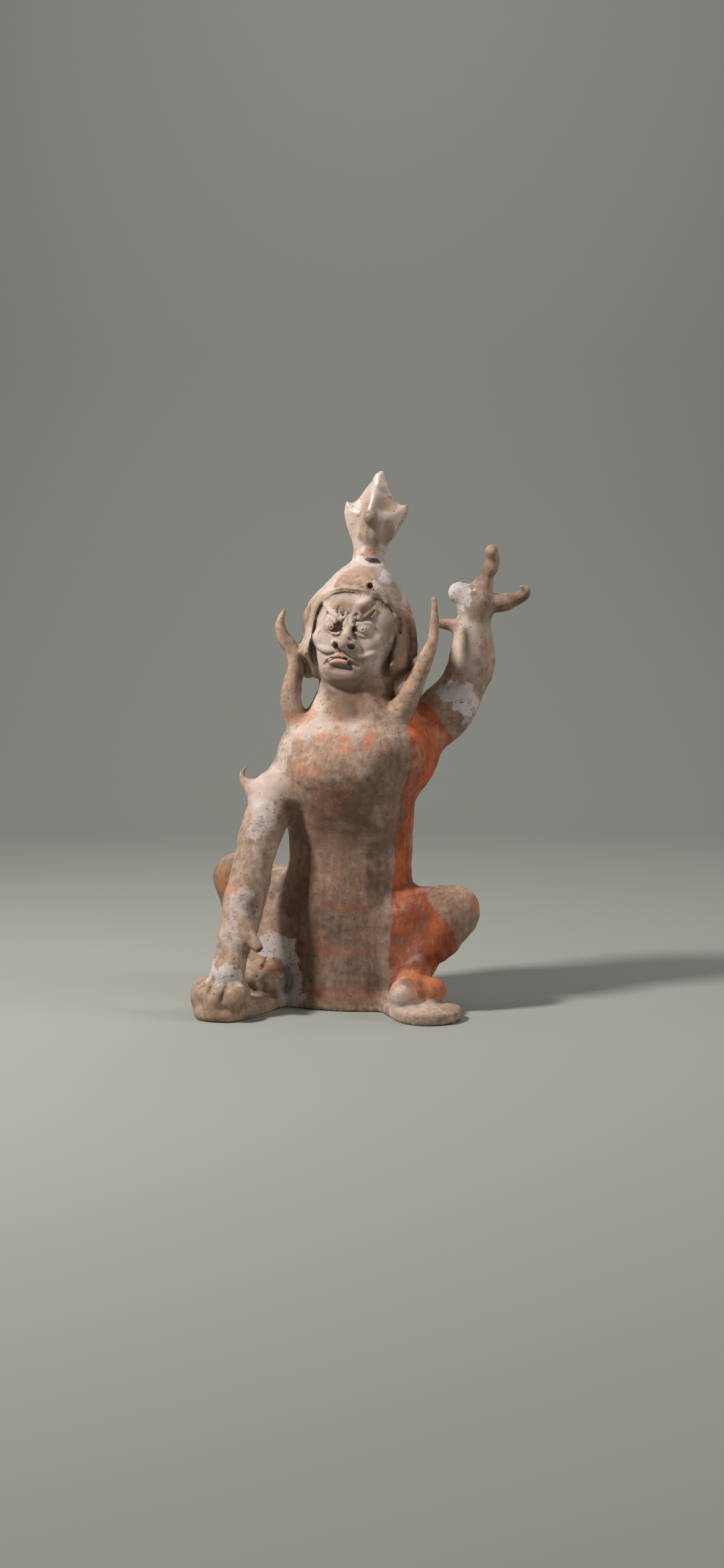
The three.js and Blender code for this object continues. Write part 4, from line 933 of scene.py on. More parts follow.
    def pupil(self, place: Vec) -> list[Step]:
        """A low disc on an eyeball with a ring cut round its middle.

        Args:
            place: Centre of the disc on the ball.

        Returns:
            Steps for the disc and for the ring cut into it.
        """
        x, y, z = place
        disc = (self.pupil_radius, self.pupil_depth, self.pupil_radius)
        angles = np.linspace(0, 2 * np.pi, self.ring_corners + 1)
        across, up = x + self.ring_radius * np.cos(angles), z + self.ring_radius * np.sin(angles)
        ring = [(u, y - self.ring_forward, v, self.ring_width) for u, v in zip(across, up)]
        return [Step(Ellipsoid(place, disc), JOINS.sharp), Step(Tube(ring), JOINS.sharp, Mode.CUT)]


@dataclass(frozen=True)
class Head:
    """Head in a frame of its own: x to its left, -y forward, z up."""

    centre: Vec = (5, 0, 436)
    yaw: float = 5
    roll: float = 8
    pitch: float = -6
    hood: OpenHood = OpenHood()
    face: Face = field(default_factory=Face)
    horn: HornPlate = HornPlate()
    lock: Rows = ((24, -44, 62, 4.5), (31, -44, 56, 5.5), (39, -42, 49, 5), (44, -41, 42, 3.6))
    jaw_flap: Rows = ((-49, -11, -8, 4), (-46, -12, -24, 6), (-41, -12, -42, 8), (-38, -8, -56, 6))
    hood_tip: Rows = ((-60, 3, -34, 9.5), (-57, 3, -46, 9), (-51, 4, -54, 7.5))
    scar_bed: Ellipsoid = Ellipsoid((0, -30, 52), (27, 9, 12))
    break_hole: Rows = ((20, -58, 57, 3), (18, -26, 60, 2.4))
    ears: Sequence[Rows] = (
        ((-57, -2, 28, 5), (-62, 0, 14, 6.5), (-62, 2, -2, 5)),
        (
            (56, -24, 29, 3.5), (61, -19, 33, 4.5), (67, -9, 29, 5.5),
            (71, -4, 19, 5.5), (75, -1, 4, 5), (78, 0, -14, 4),
        ),
    )
    concha: Rows = ((59, -24, 24, 2.4), (61, -22, 17, 4), (61, -21, 9, 2.6))
    horn_neck: Rows = ((3, 5, 70, 22), (3, 5, 90, 17), (2, 5, 110, 16), (2, 5, 130, 13))
    horn_ridge: Rows = (
        (2, -5, 126, 8), (2, -6, 146, 9), (1.5, -3, 168, 6.5), (1, 2, 186, 4), (0.5, 4, 195, 2.2),
    )
    horn_hollow: Ellipsoid = Ellipsoid((16, -20, 158), (10, 11, 11))
    horn_groove: Rows = ((4, -19, 132, 2.4), (5, -17, 118, 3), (6, -17, 104, 2.2))
    horn_pellet: Ellipsoid = Ellipsoid((2, -20, 143), (9.2, 9, 9.2))
    horn_slot: Rows = ((11, -16, 90, 2.4), (25, -4, 95, 2.8))

    def turn(self) -> Array:
        """Rotation of the head: yaw, then roll, then pitch, as one matrix."""
        yaw, roll, pitch = np.radians([self.yaw, self.roll, self.pitch])
        about_z = np.array([[np.cos(yaw), -np.sin(yaw), 0], [np.sin(yaw), np.cos(yaw), 0], [0, 0, 1]])
        about_y = np.array([[np.cos(roll), 0, np.sin(roll)], [0, 1, 0], [-np.sin(roll), 0, np.cos(roll)]])
        about_x = np.array([[1, 0, 0], [0, np.cos(pitch), -np.sin(pitch)], [0, np.sin(pitch), np.cos(pitch)]])
        return about_z @ about_y @ about_x

    def own(self, points: Array) -> Array:
        """Points of the figure as seen in the head's frame."""
        return self.turn().T @ (points - np.array(self.centre, float)[:, None])

    def steps(self) -> list[Step]:
        """Hood, face, ears and horn, carried into the figure's frame."""
        small = JOINS.small
        own = [
            Step(self.hood, small),
            Step(Tube(self.jaw_flap), small),
            Step(Tube(self.hood_tip), small),
            Step(self.scar_bed, small),
            *self.face.steps(),
            Step(Tube(self.lock), JOINS.face),
            *(Step(Tube(rows), small) for rows in self.ears),
            Step(Tube(self.concha), JOINS.face, Mode.CUT),
            Step(Tube(self.horn_neck), small),
            Step(self.horn, small),
            Step(Tube(self.horn_ridge), JOINS.limb),
            Step(self.horn_hollow, JOINS.toe, Mode.CUT),
            Step(Tube(self.horn_groove), small, Mode.CUT),
            Step(self.horn_pellet, JOINS.cut),
            Step(Tube(self.horn_slot), JOINS.cut, Mode.CUT),
            Step(Tube(self.break_hole), JOINS.cut, Mode.CUT),
        ]
        turn, centre = self.turn(), np.array(self.centre, float)
        return [Step(Turned(step.shape, turn, centre), step.join, step.mode) for step in own]


@dataclass(frozen=True)
class Ground:
    """Everything below the underside."""

    underside: float = -SLAB_THICKNESS

    def distance(self, points: Array) -> Array:
        """Height above the underside."""
        return points[2] - points.dtype.type(self.underside)

    def box(self) -> Array:
        """Lowest and highest corner."""
        return np.array([[-FAR, -FAR, -FAR], [FAR, FAR, self.underside]])


def in_chunks(clay: Clay, points: Array, size: int) -> Array:
    """Distances worked out a few thousand neighbouring points at a time."""
    pieces = [clay.distance(points[:, at : at + size]) for at in range(0, points.shape[1], size)]
    return np.concatenate(pieces)


@dataclass
class Skin:
    """Triangles of the clay's surface while they are worked on."""

    places: Array
    triangles: Array
    least_slope: float = 0.05

    def refine(self, chosen: Array) -> None:
        """Splits the chosen triangles in four, and their neighbours so that no edge is left open.

        A triangle with two split edges is split in four as well, and one with a single split
        edge in two.

        Args:
            chosen: One flag for each triangle.
        """
        ends = self.triangles[:, [[0, 1], [1, 2], [2, 0]]]
        keys = ends.min(2) * np.int64(len(self.places)) + ends.max(2)
        edges, numbers = np.unique(keys, return_inverse=True)
        numbers = numbers.reshape(-1, 3)
        split = np.zeros(len(edges), bool)
        split[numbers[chosen]] = True
        counts = split[numbers].sum(1)
        while (counts == 2).any():
            split[numbers[counts == 2]] = True
            counts = split[numbers].sum(1)
        low, high = np.divmod(edges[split], len(self.places))
        middle = np.full(len(edges), -1)
        middle[split] = len(self.places) + np.arange(split.sum())
        places = np.vstack([self.places, (self.places[low] + self.places[high]) / 2])
        a, b, c = self.triangles[counts == 3].T
        ab, bc, ca = middle[numbers[counts == 3]].T
        four = [[a, ab, ca], [ab, b, bc], [ca, bc, c], [ab, bc, ca]]
        single = counts == 1
        first = split[numbers[single]].argmax(1)
        turned = (first[:, None] + np.arange(3)) % 3
        a, b, c = np.take_along_axis(self.triangles[single], turned, 1).T
        ab = middle[np.take_along_axis(numbers[single], turned, 1)[:, 0]]
        two = [[a, ab, c], [ab, b, c]]
        parts = [np.column_stack(corners) for corners in (*four, *two)]
        self.places = places
        self.triangles = np.vstack([self.triangles[counts == 0], *parts])

    def settle(self, clay: Clay, rounds: int, cap: float, first: int = 0) -> Array:
        """Moves each vertex along the gradient onto the clay's surface, in a few rounds.

        Args:
            clay: The field to settle on.
            rounds: Times that each vertex is moved.
            cap: Furthest move in one round.
            first: Number of the first vertex to move.

        Returns:
            The unit normals at those vertices, as rows.
        """
        found = []
        for at in range(first, len(self.places), SURFACE_CHUNK):
            part = self.places[at : at + SURFACE_CHUNK].T.astype(np.float64)
            for _ in range(rounds):
                level, gradient = clay.slope(part)
                steep = np.maximum(np.square(gradient).sum(0), self.least_slope)
                part = part - gradient * np.clip(level / steep, -cap, cap)
            _, gradient = clay.slope(part)
            found.append((gradient / np.maximum(np.linalg.norm(gradient, axis=0), TINY)).T)
            self.places[at : at + SURFACE_CHUNK] = part.T
        return np.vstack([np.empty((0, 3)), *found])


@dataclass(frozen=True)
class Mesher:
    """Finds the clay's surface on a lattice, as a surface net."""

    step: float = 4.0
    block: int = 4
    margin: float = 6
    slack: float = 1.2

    def lattice(self, box: Array) -> tuple[Array, tuple[int, int, int]]:
        """Low corner of the lattice and its numbers of points along z, y and x."""
        low = box[0] - self.margin
        cells = np.ceil((box[1] + self.margin - low) / (self.step * self.block)).astype(int) * self.block
        nx, ny, nz = cells + 1
        return low, (nz, ny, nx)

    def levels(self, clay: Clay, low: Array, shape: tuple[int, int, int]) -> tuple[Array, Array]:
        """Distances on the lattice in the blocks that the surface may pass through.

        Args:
            clay: The field.
            low: Low corner of the lattice.
            shape: Numbers of points along z, y and x.

        Returns:
            The distances, and flags for the points where they are known.
        """
        block = self.block
        counts = [(n - 1) // block for n in shape]
        at = np.stack(np.meshgrid(*[np.arange(n) for n in counts], indexing="ij")).reshape(3, -1)
        centres = low[:, None] + (at[::-1] * block + block / 2) * self.step
        reach = np.sqrt(3) * block / 2 * self.step * self.slack
        near = np.abs(in_chunks(clay, centres.astype(np.float32), LATTICE_CHUNK)) < reach
        known = np.zeros(shape, bool)
        corner = at[:, near] * block
        spread = np.stack(np.meshgrid(*[np.arange(block + 1)] * 3, indexing="ij")).reshape(3, -1)
        for shift in spread.T:
            z, y, x = corner + shift[:, None]
            known[z, y, x] = True
        z, y, x = np.nonzero(known)
        points = low[:, None] + np.stack([x, y, z]) * self.step
        levels = np.ones(shape, np.float32)
        levels[z, y, x] = in_chunks(clay, points.astype(np.float32), LATTICE_CHUNK)
        return levels, known

    def skin(self, clay: Clay) -> Skin:
        """One vertex in each cell that the surface crosses, at the middle of its crossings.

        Four cells round a lattice edge with ends on both sides give one square of the skin.

        Args:
            clay: The field.

        Returns:
            The closed skin.
        """
        low, shape = self.lattice(clay.box())
        levels, known = self.levels(clay, low, shape)
        nz, ny, nx = shape
        strides = np.array([1, nx, nx * ny])
        inside = levels < 0
        total = np.zeros((nz - 1, ny - 1, nx - 1), np.int8)
        sure = np.ones_like(total, bool)
        corners = np.array([[x, y, z] for z in (0, 1) for y in (0, 1) for x in (0, 1)])
        for x, y, z in corners:
            window = (slice(z, nz - 1 + z), slice(y, ny - 1 + y), slice(x, nx - 1 + x))
            total += inside[window]
            sure &= known[window]
        z, y, x = np.nonzero(sure & (total > 0) & (total < 8))
        cells = x + y * nx + z * nx * ny
        flat = levels.ravel()
        sums = np.zeros((len(cells), 3))
        crossings = np.zeros(len(cells))
        for a in range(8):
            for b in range(a + 1, 8):
                if np.abs(corners[a] - corners[b]).sum() != 1:
                    continue
                first, second = flat[cells + corners[a] @ strides], flat[cells + corners[b] @ strides]
                crossed = (first < 0) != (second < 0)
                t = np.where(crossed, first / np.where(crossed, first - second, 1), 0)
                spot = corners[a] + t[:, None] * (corners[b] - corners[a])
                sums += np.where(crossed[:, None], spot, 0)
                crossings += crossed
        places = low + (np.column_stack([x, y, z]) + sums / crossings[:, None]) * self.step
        numbers = np.full(nx * ny * nz, -1)
        numbers[cells] = np.arange(len(cells))
        squares = self.squares(inside.ravel(), known.ravel(), numbers, strides)
        return Skin(places, halved(places, squares))

    def squares(self, inside: Array, known: Array, numbers: Array, strides: Array) -> Array:
        """Squares of the net, wound so that they face out of the clay.

        Args:
            inside: Flag for each lattice point in the clay.
            known: Flag for each point with a distance.
            numbers: Vertex number of each cell, or -1.
            strides: Steps between neighbours along x, y and z.

        Returns:
            Rows of four vertex numbers.
        """
        found = []
        for axis in range(3):
            along, over, across = strides[axis], strides[(axis + 1) % 3], strides[(axis + 2) % 3]
            at = np.flatnonzero((inside[:-along] != inside[along:]) & known[:-along] & known[along:])
            ring = np.stack([at - over - across, at - across, at, at - over], axis=1)
            square = numbers[ring]
            square[~inside[at]] = square[~inside[at], ::-1]
            found.append(square[(square >= 0).all(1)])
        return np.vstack(found)


def halved(places: Array, squares: Array) -> Array:
    """Two triangles for each square, split along its shorter diagonal."""
    a, b, c, d = squares.T
    first = np.linalg.norm(places[a] - places[c], axis=1) <= np.linalg.norm(places[b] - places[d], axis=1)
    one = np.where(first[:, None], np.column_stack([a, b, c]), np.column_stack([a, b, d]))
    two = np.where(first[:, None], np.column_stack([a, c, d]), np.column_stack([b, c, d]))
    return np.vstack([one, two])


@dataclass(frozen=True)
class Beast:
    """The whole figure, from its slab to its horn."""

    torso: Torso = Torso()
    hind_legs: HindLegs = HindLegs()
    planted: PlantedForeleg = PlantedForeleg()
    raised: RaisedForeleg = RaisedForeleg()
    wings: Wings = Wings()
    slab: Slab = Slab()
    head: Head = Head()

    def clay(self) -> Clay:
        """The field of everything, in the order in which it was modelled."""
        return Clay([
            *self.torso.steps(),
            *self.hind_legs.steps(),
            *self.torso.late_steps(),
            *self.planted.steps(),
            *self.raised.steps(),
            Step(self.slab, JOINS.foot),
            *self.planted.paw_steps(),
            *self.hind_legs.toe_steps(),
            *self.wings.steps(),
            *self.head.steps(),
            Step(Ground(), JOINS.cut, Mode.CUT),
        ])


@dataclass(frozen=True)
class Ripples:
    """Smooth random field of about unit size, as plane waves in random directions added up.

    The length is the usual distance between crests, the seed chooses the waves, and the stretch
    draws the crests out along x, y and z.
    """

    length: float
    seed: int
    stretch: Vec = (1, 1, 1)
    waves: int = 16
    shortest: float = 0.7
    longest: float = 1.5

    def at(self, points: Array) -> Array:
        """Value of the field at each point."""
        random = np.random.default_rng(self.seed)
        ways = random.normal(size=(self.waves, 3))
        lengths = self.length * random.uniform(self.shortest, self.longest, self.waves)
        ways /= (np.linalg.norm(ways, axis=1) * lengths)[:, None]
        turns = (ways / np.array(self.stretch)) @ points + random.uniform(0, 1, self.waves)[:, None]
        return np.cos(2 * np.pi * turns).sum(0) * np.sqrt(2 / self.waves)


def eased(value: Array, low: float, high: float) -> Array:
    """Smooth step from 0 at low to 1 at high."""
    t = np.clip((value - low) / (high - low), 0, 1)
    return t * t * (3 - 2 * t)


@dataclass(frozen=True)
class Patch:
    """Round area of the surface, as the egg that holds it. Head patches use the head's frame."""

    centre: Vec
    radii: Vec
    on_head: bool = False

    def depth(self, points: Array, own: Array) -> Array:
        """Depth of each point inside the patch, negative outside."""
        return -Ellipsoid(self.centre, self.radii).distance(own if self.on_head else points)


def deepest(patches: Sequence[Patch], points: Array, own: Array) -> Array:
    """Depth inside whichever patch holds a point best."""
    return np.max([patch.depth(points, own) for patch in patches], axis=0)


def bearing(points: Array) -> Array:
    """Degrees of each point round the figure, from its front over its left side."""
    return np.degrees(np.arctan2(points[0], -points[1])) % 360


def degree_length(points: Array) -> Array:
    """Millimetres that a degree measures at each point's distance from the middle."""
    return np.radians(1) * np.hypot(points[0], points[1])


def wavering(value: Array, waves: Rows) -> Array:
    """Sum of sines, with rows of length, start and size in millimetres."""
    return sum(size * np.sin(value / length + start) for length, start, size in waves)


@dataclass(frozen=True)
class Paintwork:
    """Where paint, slip, plaster, breaks and painted shade lie on the figure, in drawn millimetres.

    The paint's edges at the front and the back are angles in degrees, for the front one with the
    height before it.
    """

    kinds: Sequence[str] = (
        "plaster", "worn_plaster", "slip", "lips", "stain", "gloss", "brown_and_shade", "ochre", "hole_shade_and_dark_tips", "painted_shade",
    )
    front_edge: Rows = (
        (-22, 52), (10, 47), (40, 45), (70, 48), (110, 54), (140, 63), (300, 63), (330, 72), (345, 82),
    )
    back_edge: float = 242
    back_waves: Rows = ((31, 0, 5), (12, 1, 3))
    bare_waves: tuple[Rows, Rows] = (((13, 0, 5),), ((11, 0, 5),))
    orange_low: float = 4
    orange_high: float = 352
    seam_top: float = 230
    arm_way: Vec = (0.72, 0.37, 0.59)
    arm_reach: float = 281
    bare: Sequence[Patch] = (
        Patch((151, -24, 98), (41, 46, 44)),
        Patch((-150, -20, 120), (70, 70, 60)),
    )
    plaster: Sequence[Patch] = (
        Patch((128, 27, 365), (21, 22, 15)),
        Patch((140, 34, 350), (16, 20, 14)),
        Patch((126, 54, 483), (22, 25, 22)),
        Patch((-110, -170, 36), (25, 20, 9)),
        Patch((-92, -176, 28), (18, 16, 8)),
        Patch((-124, -172, 30), (10, 14, 8)),
        Patch((-83, -64, 50), (20, 18, 15)),
        Patch((-63, -66, 50), (14, 18, 13)),
        Patch((-53, -72, 22), (11, 20, 28)),
        Patch((-50, -80, -6), (14, 20, 15)),
        Patch((84, -105, -16), (8, 8, 7)),
        Patch((6, -14, 91), (19, 16, 6), True),
        Patch((31, -20, 76), (9, 18, 13), True),
    )
    worn_plaster: Sequence[Patch] = (
        Patch((-77, -106, 218), (17, 16, 24)),
        Patch((-84, -110, 196), (9, 14, 14)),
        Patch((-92, -140, 112), (14, 20, 24)),
        Patch((-100, -150, 74), (15, 20, 26)),
        Patch((150, 44, 338), (20, 20, 18)),
        Patch((-64, -60, 290), (12, 20, 26)),
    )
    slip: Sequence[Patch] = (
        Patch((3, -20, -6), (56, 60, 66), True),
        Patch((2, 0, 150), (46, 30, 66), True),
        Patch((0, 0, 60), (64, 70, 40), True),
        Patch((-86, -60, 240), (26, 50, 50)),
        Patch((-34, -66, 322), (30, 36, 14)),
        Patch((-40, -44, 358), (18, 30, 26)),
        Patch((26, -60, 324), (14, 30, 14)),
        Patch((104, -124, 3), (48, 36, 5)),
        Patch((112, -92, 20), (22, 20, 9)),
        Patch((94, -114, 8), (26, 26, 22)),
        Patch((138, 60, 420), (24, 30, 60)),
    )
    scar_outline: Rows = (
        (-27, 51), (-25, 66), (-15, 75), (-3, 82), (16, 84), (27, 75),
        (23, 63), (25, 53), (21, 46), (9, 45), (-5, 46), (-20, 45),
    )
    scar_behind: float = -10
    lips: Sequence[Patch] = (
        Patch((-2, -52, -39.5), (15, 10, 4), True),
        Patch((-3.4, -55, -31.8), (5, 6, 2.6), True),
    )
    stain: Sequence[Patch] = (
        Patch((11, -12, 103), (8, 14, 9), True),
        Patch((-46, -36, 334), (22, 18, 10)),
        Patch((108, -92, 14), (40, 30, 22)),
        Patch((132, -74, 14), (20, 22, 20)),
        Patch((-102, -141, 131), (12, 14, 6)),
        Patch((-150, -40, 128), (12, 20, 18)),
        Patch((-80, -80, 26), (16, 12, 10)),
        Patch((172, -24, 112), (8, 14, 14)),
    )
    gloss: Sequence[Patch] = (Patch((2, 0, 155), (46, 30, 62), True),)
    # Painted shade in the nostrils, the horn's slot and the break hole, and dark tips on the dewclaw and the
    # spur.
    hole_shade_and_dark_tips: Sequence[Patch] = (
        Patch((-7.5, -60, -20.5), (3.2, 9, 3), True),
        Patch((11.5, -60, -19.8), (4.2, 9, 2.8), True),
        Patch((14, -12, 92), (13, 9, 3.4), True),
        Patch((20, -44, 57.5), (4.2, 26, 3.4), True),
        Patch((-65, -153, 62), (5, 5, 4.5)),
        Patch((98, 46, 446), (4, 4, 4)),
    )
    # Painted shade: under the chest and down the belly, on the left thigh and the neck, under the chin, on
    # the right haunch, under the raised arm, and a little over the horn's lit face.
    painted_shade: Sequence[Patch] = (
        Patch((14, -80, 190), (74, 60, 34)),
        Patch((14, -80, 90), (84, 60, 110)),
        Patch((70, -60, 236), (34, 50, 70)),
        Patch((112, -50, 84), (44, 50, 56)),
        Patch((24, -44, 356), (34, 30, 26)),
        Patch((2, -52, 374), (34, 26, 18)),
        Patch((-150, -40, 104), (40, 50, 50)),
        Patch((142, 44, 330), (40, 34, 22)),
        Patch((4, -60, -58), (36, 34, 18), True),
        Patch((10, -50, -70), (40, 44, 22), True),
        Patch((-14, -60, 160), (44, 53, 50), True),
    )
    ochre: Sequence[Patch] = (
        Patch((19, -10, 164), (13, 18, 11), True),
        Patch((11, -14, 119), (6, 16, 24), True),
        Patch((-6, -12, 127), (8, 16, 13), True),
        Patch((2, -27, 141), (10, 9, 8), True),
        Patch((24, -8, 128), (8, 14, 18), True),
        Patch((46, -22, 58), (16, 26, 14), True),
        Patch((-16, -52, 30), (12, 20, 8), True),
        Patch((28, -52, 30), (13, 20, 9), True),
        Patch((0, -60, -14), (9, 14, 9), True),
    )
    # Darker stains on the claws, the knee and the hood, and painted shade on the neck, under the chin, below
    # the chest and at a few other spots.
    brown_and_shade: Sequence[Patch] = (
        Patch((60, -10, -10), (24, 40, 40), True),
        Patch((160, 68, 524), (16, 16, 22)),
        Patch((204, 70, 486), (20, 14, 12)),
        Patch((160, 60, 462), (24, 30, 12)),
        Patch((20, -70, 210), (90, 60, 40)),
        Patch((160, -14, 80), (30, 40, 18)),
        Patch((12, -62, -46), (22, 14, 9), True),
        Patch((16, -60, 350), (28, 34, 18)),
        Patch((10, -52, 26), (30, 18, 11), True),
        Patch((70, 6, 440), (14, 16, 20)),
        Patch((84, -10, 352), (18, 20, 16)),
        Patch((-92, -134, 190), (10, 20, 14)),
    )

    def past_front(self, points: Array) -> Array:
        """Distance behind the paint's front edge, whose angle is read from a table."""
        heights, edges = np.array(self.front_edge, float).T
        return (bearing(points) - np.interp(points[2], heights, edges)) * degree_length(points)

    def orange(self, points: Array, own: Array) -> Array:
        """Depth inside the painted flank and back, where the bare patches are left out.

        Args:
            points: Three rows of x, y and z in the figure's frame.
            own: The same points in the head's frame.

        Returns:
            Depth for each point, negative where there is no paint.
        """
        _, y, z = points
        limits = [
            self.past_front(points),
            (self.back_edge - bearing(points)) * degree_length(points) + wavering(z, self.back_waves),
            z - self.orange_low,
            self.orange_high - z,
            self.arm_reach - np.array(self.arm_way) @ points,
        ]
        drift = wavering(y, self.bare_waves[0]) + wavering(z, self.bare_waves[1])
        return np.minimum(np.min(limits, axis=0), drift - deepest(self.bare, points, own))

    def marks(self, points: Array, head: Head) -> dict[str, Array]:
        """Depths of all kinds of mark, by name.

        Args:
            points: Three rows of x, y and z in the figure's frame.
            head: The head, for the patches drawn on it.

        Returns:
            One value for each point under each name.
        """
        own = head.own(points)
        found = {name: deepest(getattr(self, name), points, own) for name in self.kinds}
        scar = -outline_distance(np.array(self.scar_outline, float), own[0], own[2])
        found["scar"] = np.minimum(scar, self.scar_behind - own[1])
        found["orange"] = self.orange(points, own)
        found["seam"] = np.minimum(self.past_front(points), self.seam_top - points[2])
        return found


@dataclass(frozen=True)
class Weathering:
    """Unevenness of hand-modelled clay, in millimetres. Steps are rows of their two ends."""

    lumps: float = 0.55
    lump_field: Ripples = Ripples(42, 1)
    dents: float = 0.2
    dent_field: Ripples = Ripples(15, 2)
    scrapes: float = 0.16
    scrape_field: Ripples = Ripples(9, 3, (1, 1, 9))
    scar_depth: float = 1.1
    scar_edge: tuple[float, float] = (-1, 2)
    coarse_grit: float = 0.175
    coarse_field: Ripples = Ripples(9, 4)
    fine_grit: float = 0.125
    fine_field: Ripples = Ripples(4, 5)
    face_front: tuple[float, float] = (10, 24)
    face_half: tuple[float, float] = (62, 66)
    face_fade: float = 10
    face_calm: float = 0.8
    scar_calm: float = 0.6
    trunk_foot: tuple[float, float] = (-10, 20)
    trunk_top: float = 270
    trunk_fade: float = 40
    trunk_radius: float = 105
    side_fade: float = 12

    def face(self, own: Array) -> Array:
        """Share by which each point is on the face, from points in the head's frame."""
        wide, tall = self.face_half
        across = eased(wide - np.abs(own[0]), 0, self.face_fade)
        up = eased(tall - np.abs(own[2]), 0, self.face_fade)
        return eased(-own[1], *self.face_front) * across * up

    def trunk(self, points: Array) -> Array:
        """Share by which each point is on the trunk."""
        x, y, z = points
        upright = eased(z, *self.trunk_foot) * eased(self.trunk_top - z, 0, self.trunk_fade)
        return upright * eased(self.trunk_radius - np.hypot(x, y), 0, self.side_fade)

    def heights(self, points: Array, marks: dict[str, Array], own: Array) -> Array:
        """Height that each point is raised by.

        Args:
            points: Three rows of x, y and z in the figure's frame.
            marks: Depths from the paintwork.
            own: The points in the head's frame.

        Returns:
            One height for each point.
        """
        uneven = self.lumps * self.lump_field.at(points) + self.dents * self.dent_field.at(points)
        scraped = self.scrapes * self.scrape_field.at(points) * self.trunk(points)
        grit = self.coarse_grit * self.coarse_field.at(points) + self.fine_grit * self.fine_field.at(points)
        scar = eased(marks["scar"], *self.scar_edge)
        calm = (1 - self.face_calm * self.face(own)) * (1 - self.scar_calm * scar)
        return uneven * calm + scraped + scar * (grit - self.scar_depth)


@dataclass(frozen=True)
class Refinement:
    """Box in the head's frame in which triangles that bend more than an angle are split.

    The reach is to both sides and up and down, and ahead is the largest y.
    """

    across: float
    up: float
    ahead: float
    angle: float
    middle: float = 4

    def holds(self, own: Array) -> Array:
        """Flags for the points in the box."""
        beside = np.abs(own[0] - self.middle) < self.across
        return beside & (own[1] < self.ahead) & (np.abs(own[2]) < self.up)


@dataclass
class ClayFigure:
    """The dressed figure as one Blender object."""

    beast: Beast
    metre: float
    paintwork: Paintwork = Paintwork()
    weathering: Weathering = Weathering()
    mesher: Mesher = Mesher()
    refinements: Sequence[Refinement] = (
        Refinement(62, 74, -8, 5),
        Refinement(FAR, FAR, FAR, 32),
        Refinement(58, 72, -22, 18),
    )
    rounds: int = 2
    first_cap: float = 1.5
    later_cap: float = 1.0
    foot_room: float = 0.4
    pinch_reach: float = 2.0
    hollow_reach: float = 7.0
    edge_reach: float = 3.0

    def bent(self, skin: Skin, normals: Array, chosen: Refinement) -> Array:
        """Flags for the triangles in a refinement's box whose corner normals differ by its angle."""
        inside = chosen.holds(self.beast.head.own(skin.places.T))
        a, b, c = (normals[skin.triangles[:, corner]] for corner in range(3))
        least = np.minimum(np.minimum((a * b).sum(1), (b * c).sum(1)), (c * a).sum(1))
        return inside[skin.triangles].any(1) & (least < np.cos(np.radians(chosen.angle)))

    def skin(self) -> tuple[Skin, Array]:
        """The clay's skin, refined where it bends, and its normals."""
        clay = self.beast.clay()
        skin = self.mesher.skin(clay)
        normals = skin.settle(clay, self.rounds, self.first_cap)
        for chosen in self.refinements:
            count = len(skin.places)
            skin.refine(self.bent(skin, normals, chosen))
            normals = np.vstack([normals, skin.settle(clay, self.rounds, self.later_cap, count)])
            log.info("refined to %d triangles", len(skin.triangles))
        return skin, normals

    def build(self) -> bpy.types.Object:
        """Makes the mesh and writes the attributes.

        Returns:
            The finished object, in metres, standing on z = 0.
        """
        skin, normals = self.skin()
        points = skin.places.T
        own = self.beast.head.own(points)
        marks = self.paintwork.marks(points, self.beast.head)
        places = skin.places + normals * self.weathering.heights(points, marks, own)[:, None]
        self.flatten(places)
        final = mesh_object(NODE + "_clay", self.in_metres(places), skin.triangles)
        self.write_marks(final)
        return final

    def flatten(self, places: Array) -> None:
        """Sets everything at or below the underside flat on it."""
        underside = -self.beast.slab.thickness
        places[places[:, 2] < underside + self.foot_room, 2] = underside

    def in_metres(self, places: Array) -> Array:
        """Places in metres above the underside."""
        return (places + [0, 0, self.beast.slab.thickness]) * self.metre

    def write_marks(self, figure: bpy.types.Object) -> None:
        """Stores the paint's depths, and how sheltered or how sharp each place is, for the shader.

        Args:
            figure: The object whose mesh takes the attributes.
        """
        mesh = figure.data
        places = np.empty(len(mesh.vertices) * 3, np.float32)
        mesh.vertices.foreach_get("co", places)
        normals = np.empty_like(places)
        mesh.vertices.foreach_get("normal", normals)
        points = places.reshape(-1, 3).T.astype(float) / self.metre
        points[2] -= self.beast.slab.thickness
        out = normals.reshape(-1, 3).T.astype(float)
        clay = self.beast.clay()
        found = self.paintwork.marks(points, self.beast.head)
        # How sheltered each place is, which the shader darkens partly as painted shade.
        for name, reach in (("pinch", self.pinch_reach), ("hollow", self.hollow_reach)):
            level = in_chunks(clay, (points + out * reach).astype(np.float32), SURFACE_CHUNK)
            found[name] = np.clip(1 - level / reach, 0, 1)
        level = in_chunks(clay, (points - out * self.edge_reach).astype(np.float32), SURFACE_CHUNK)
        found["edge"] = np.clip(1 + level / self.edge_reach, 0, 1)
        for name, values in found.items():
            layer = mesh.attributes.new(name, "FLOAT", "POINT")
            layer.data.foreach_set("value", values.astype(np.float32))


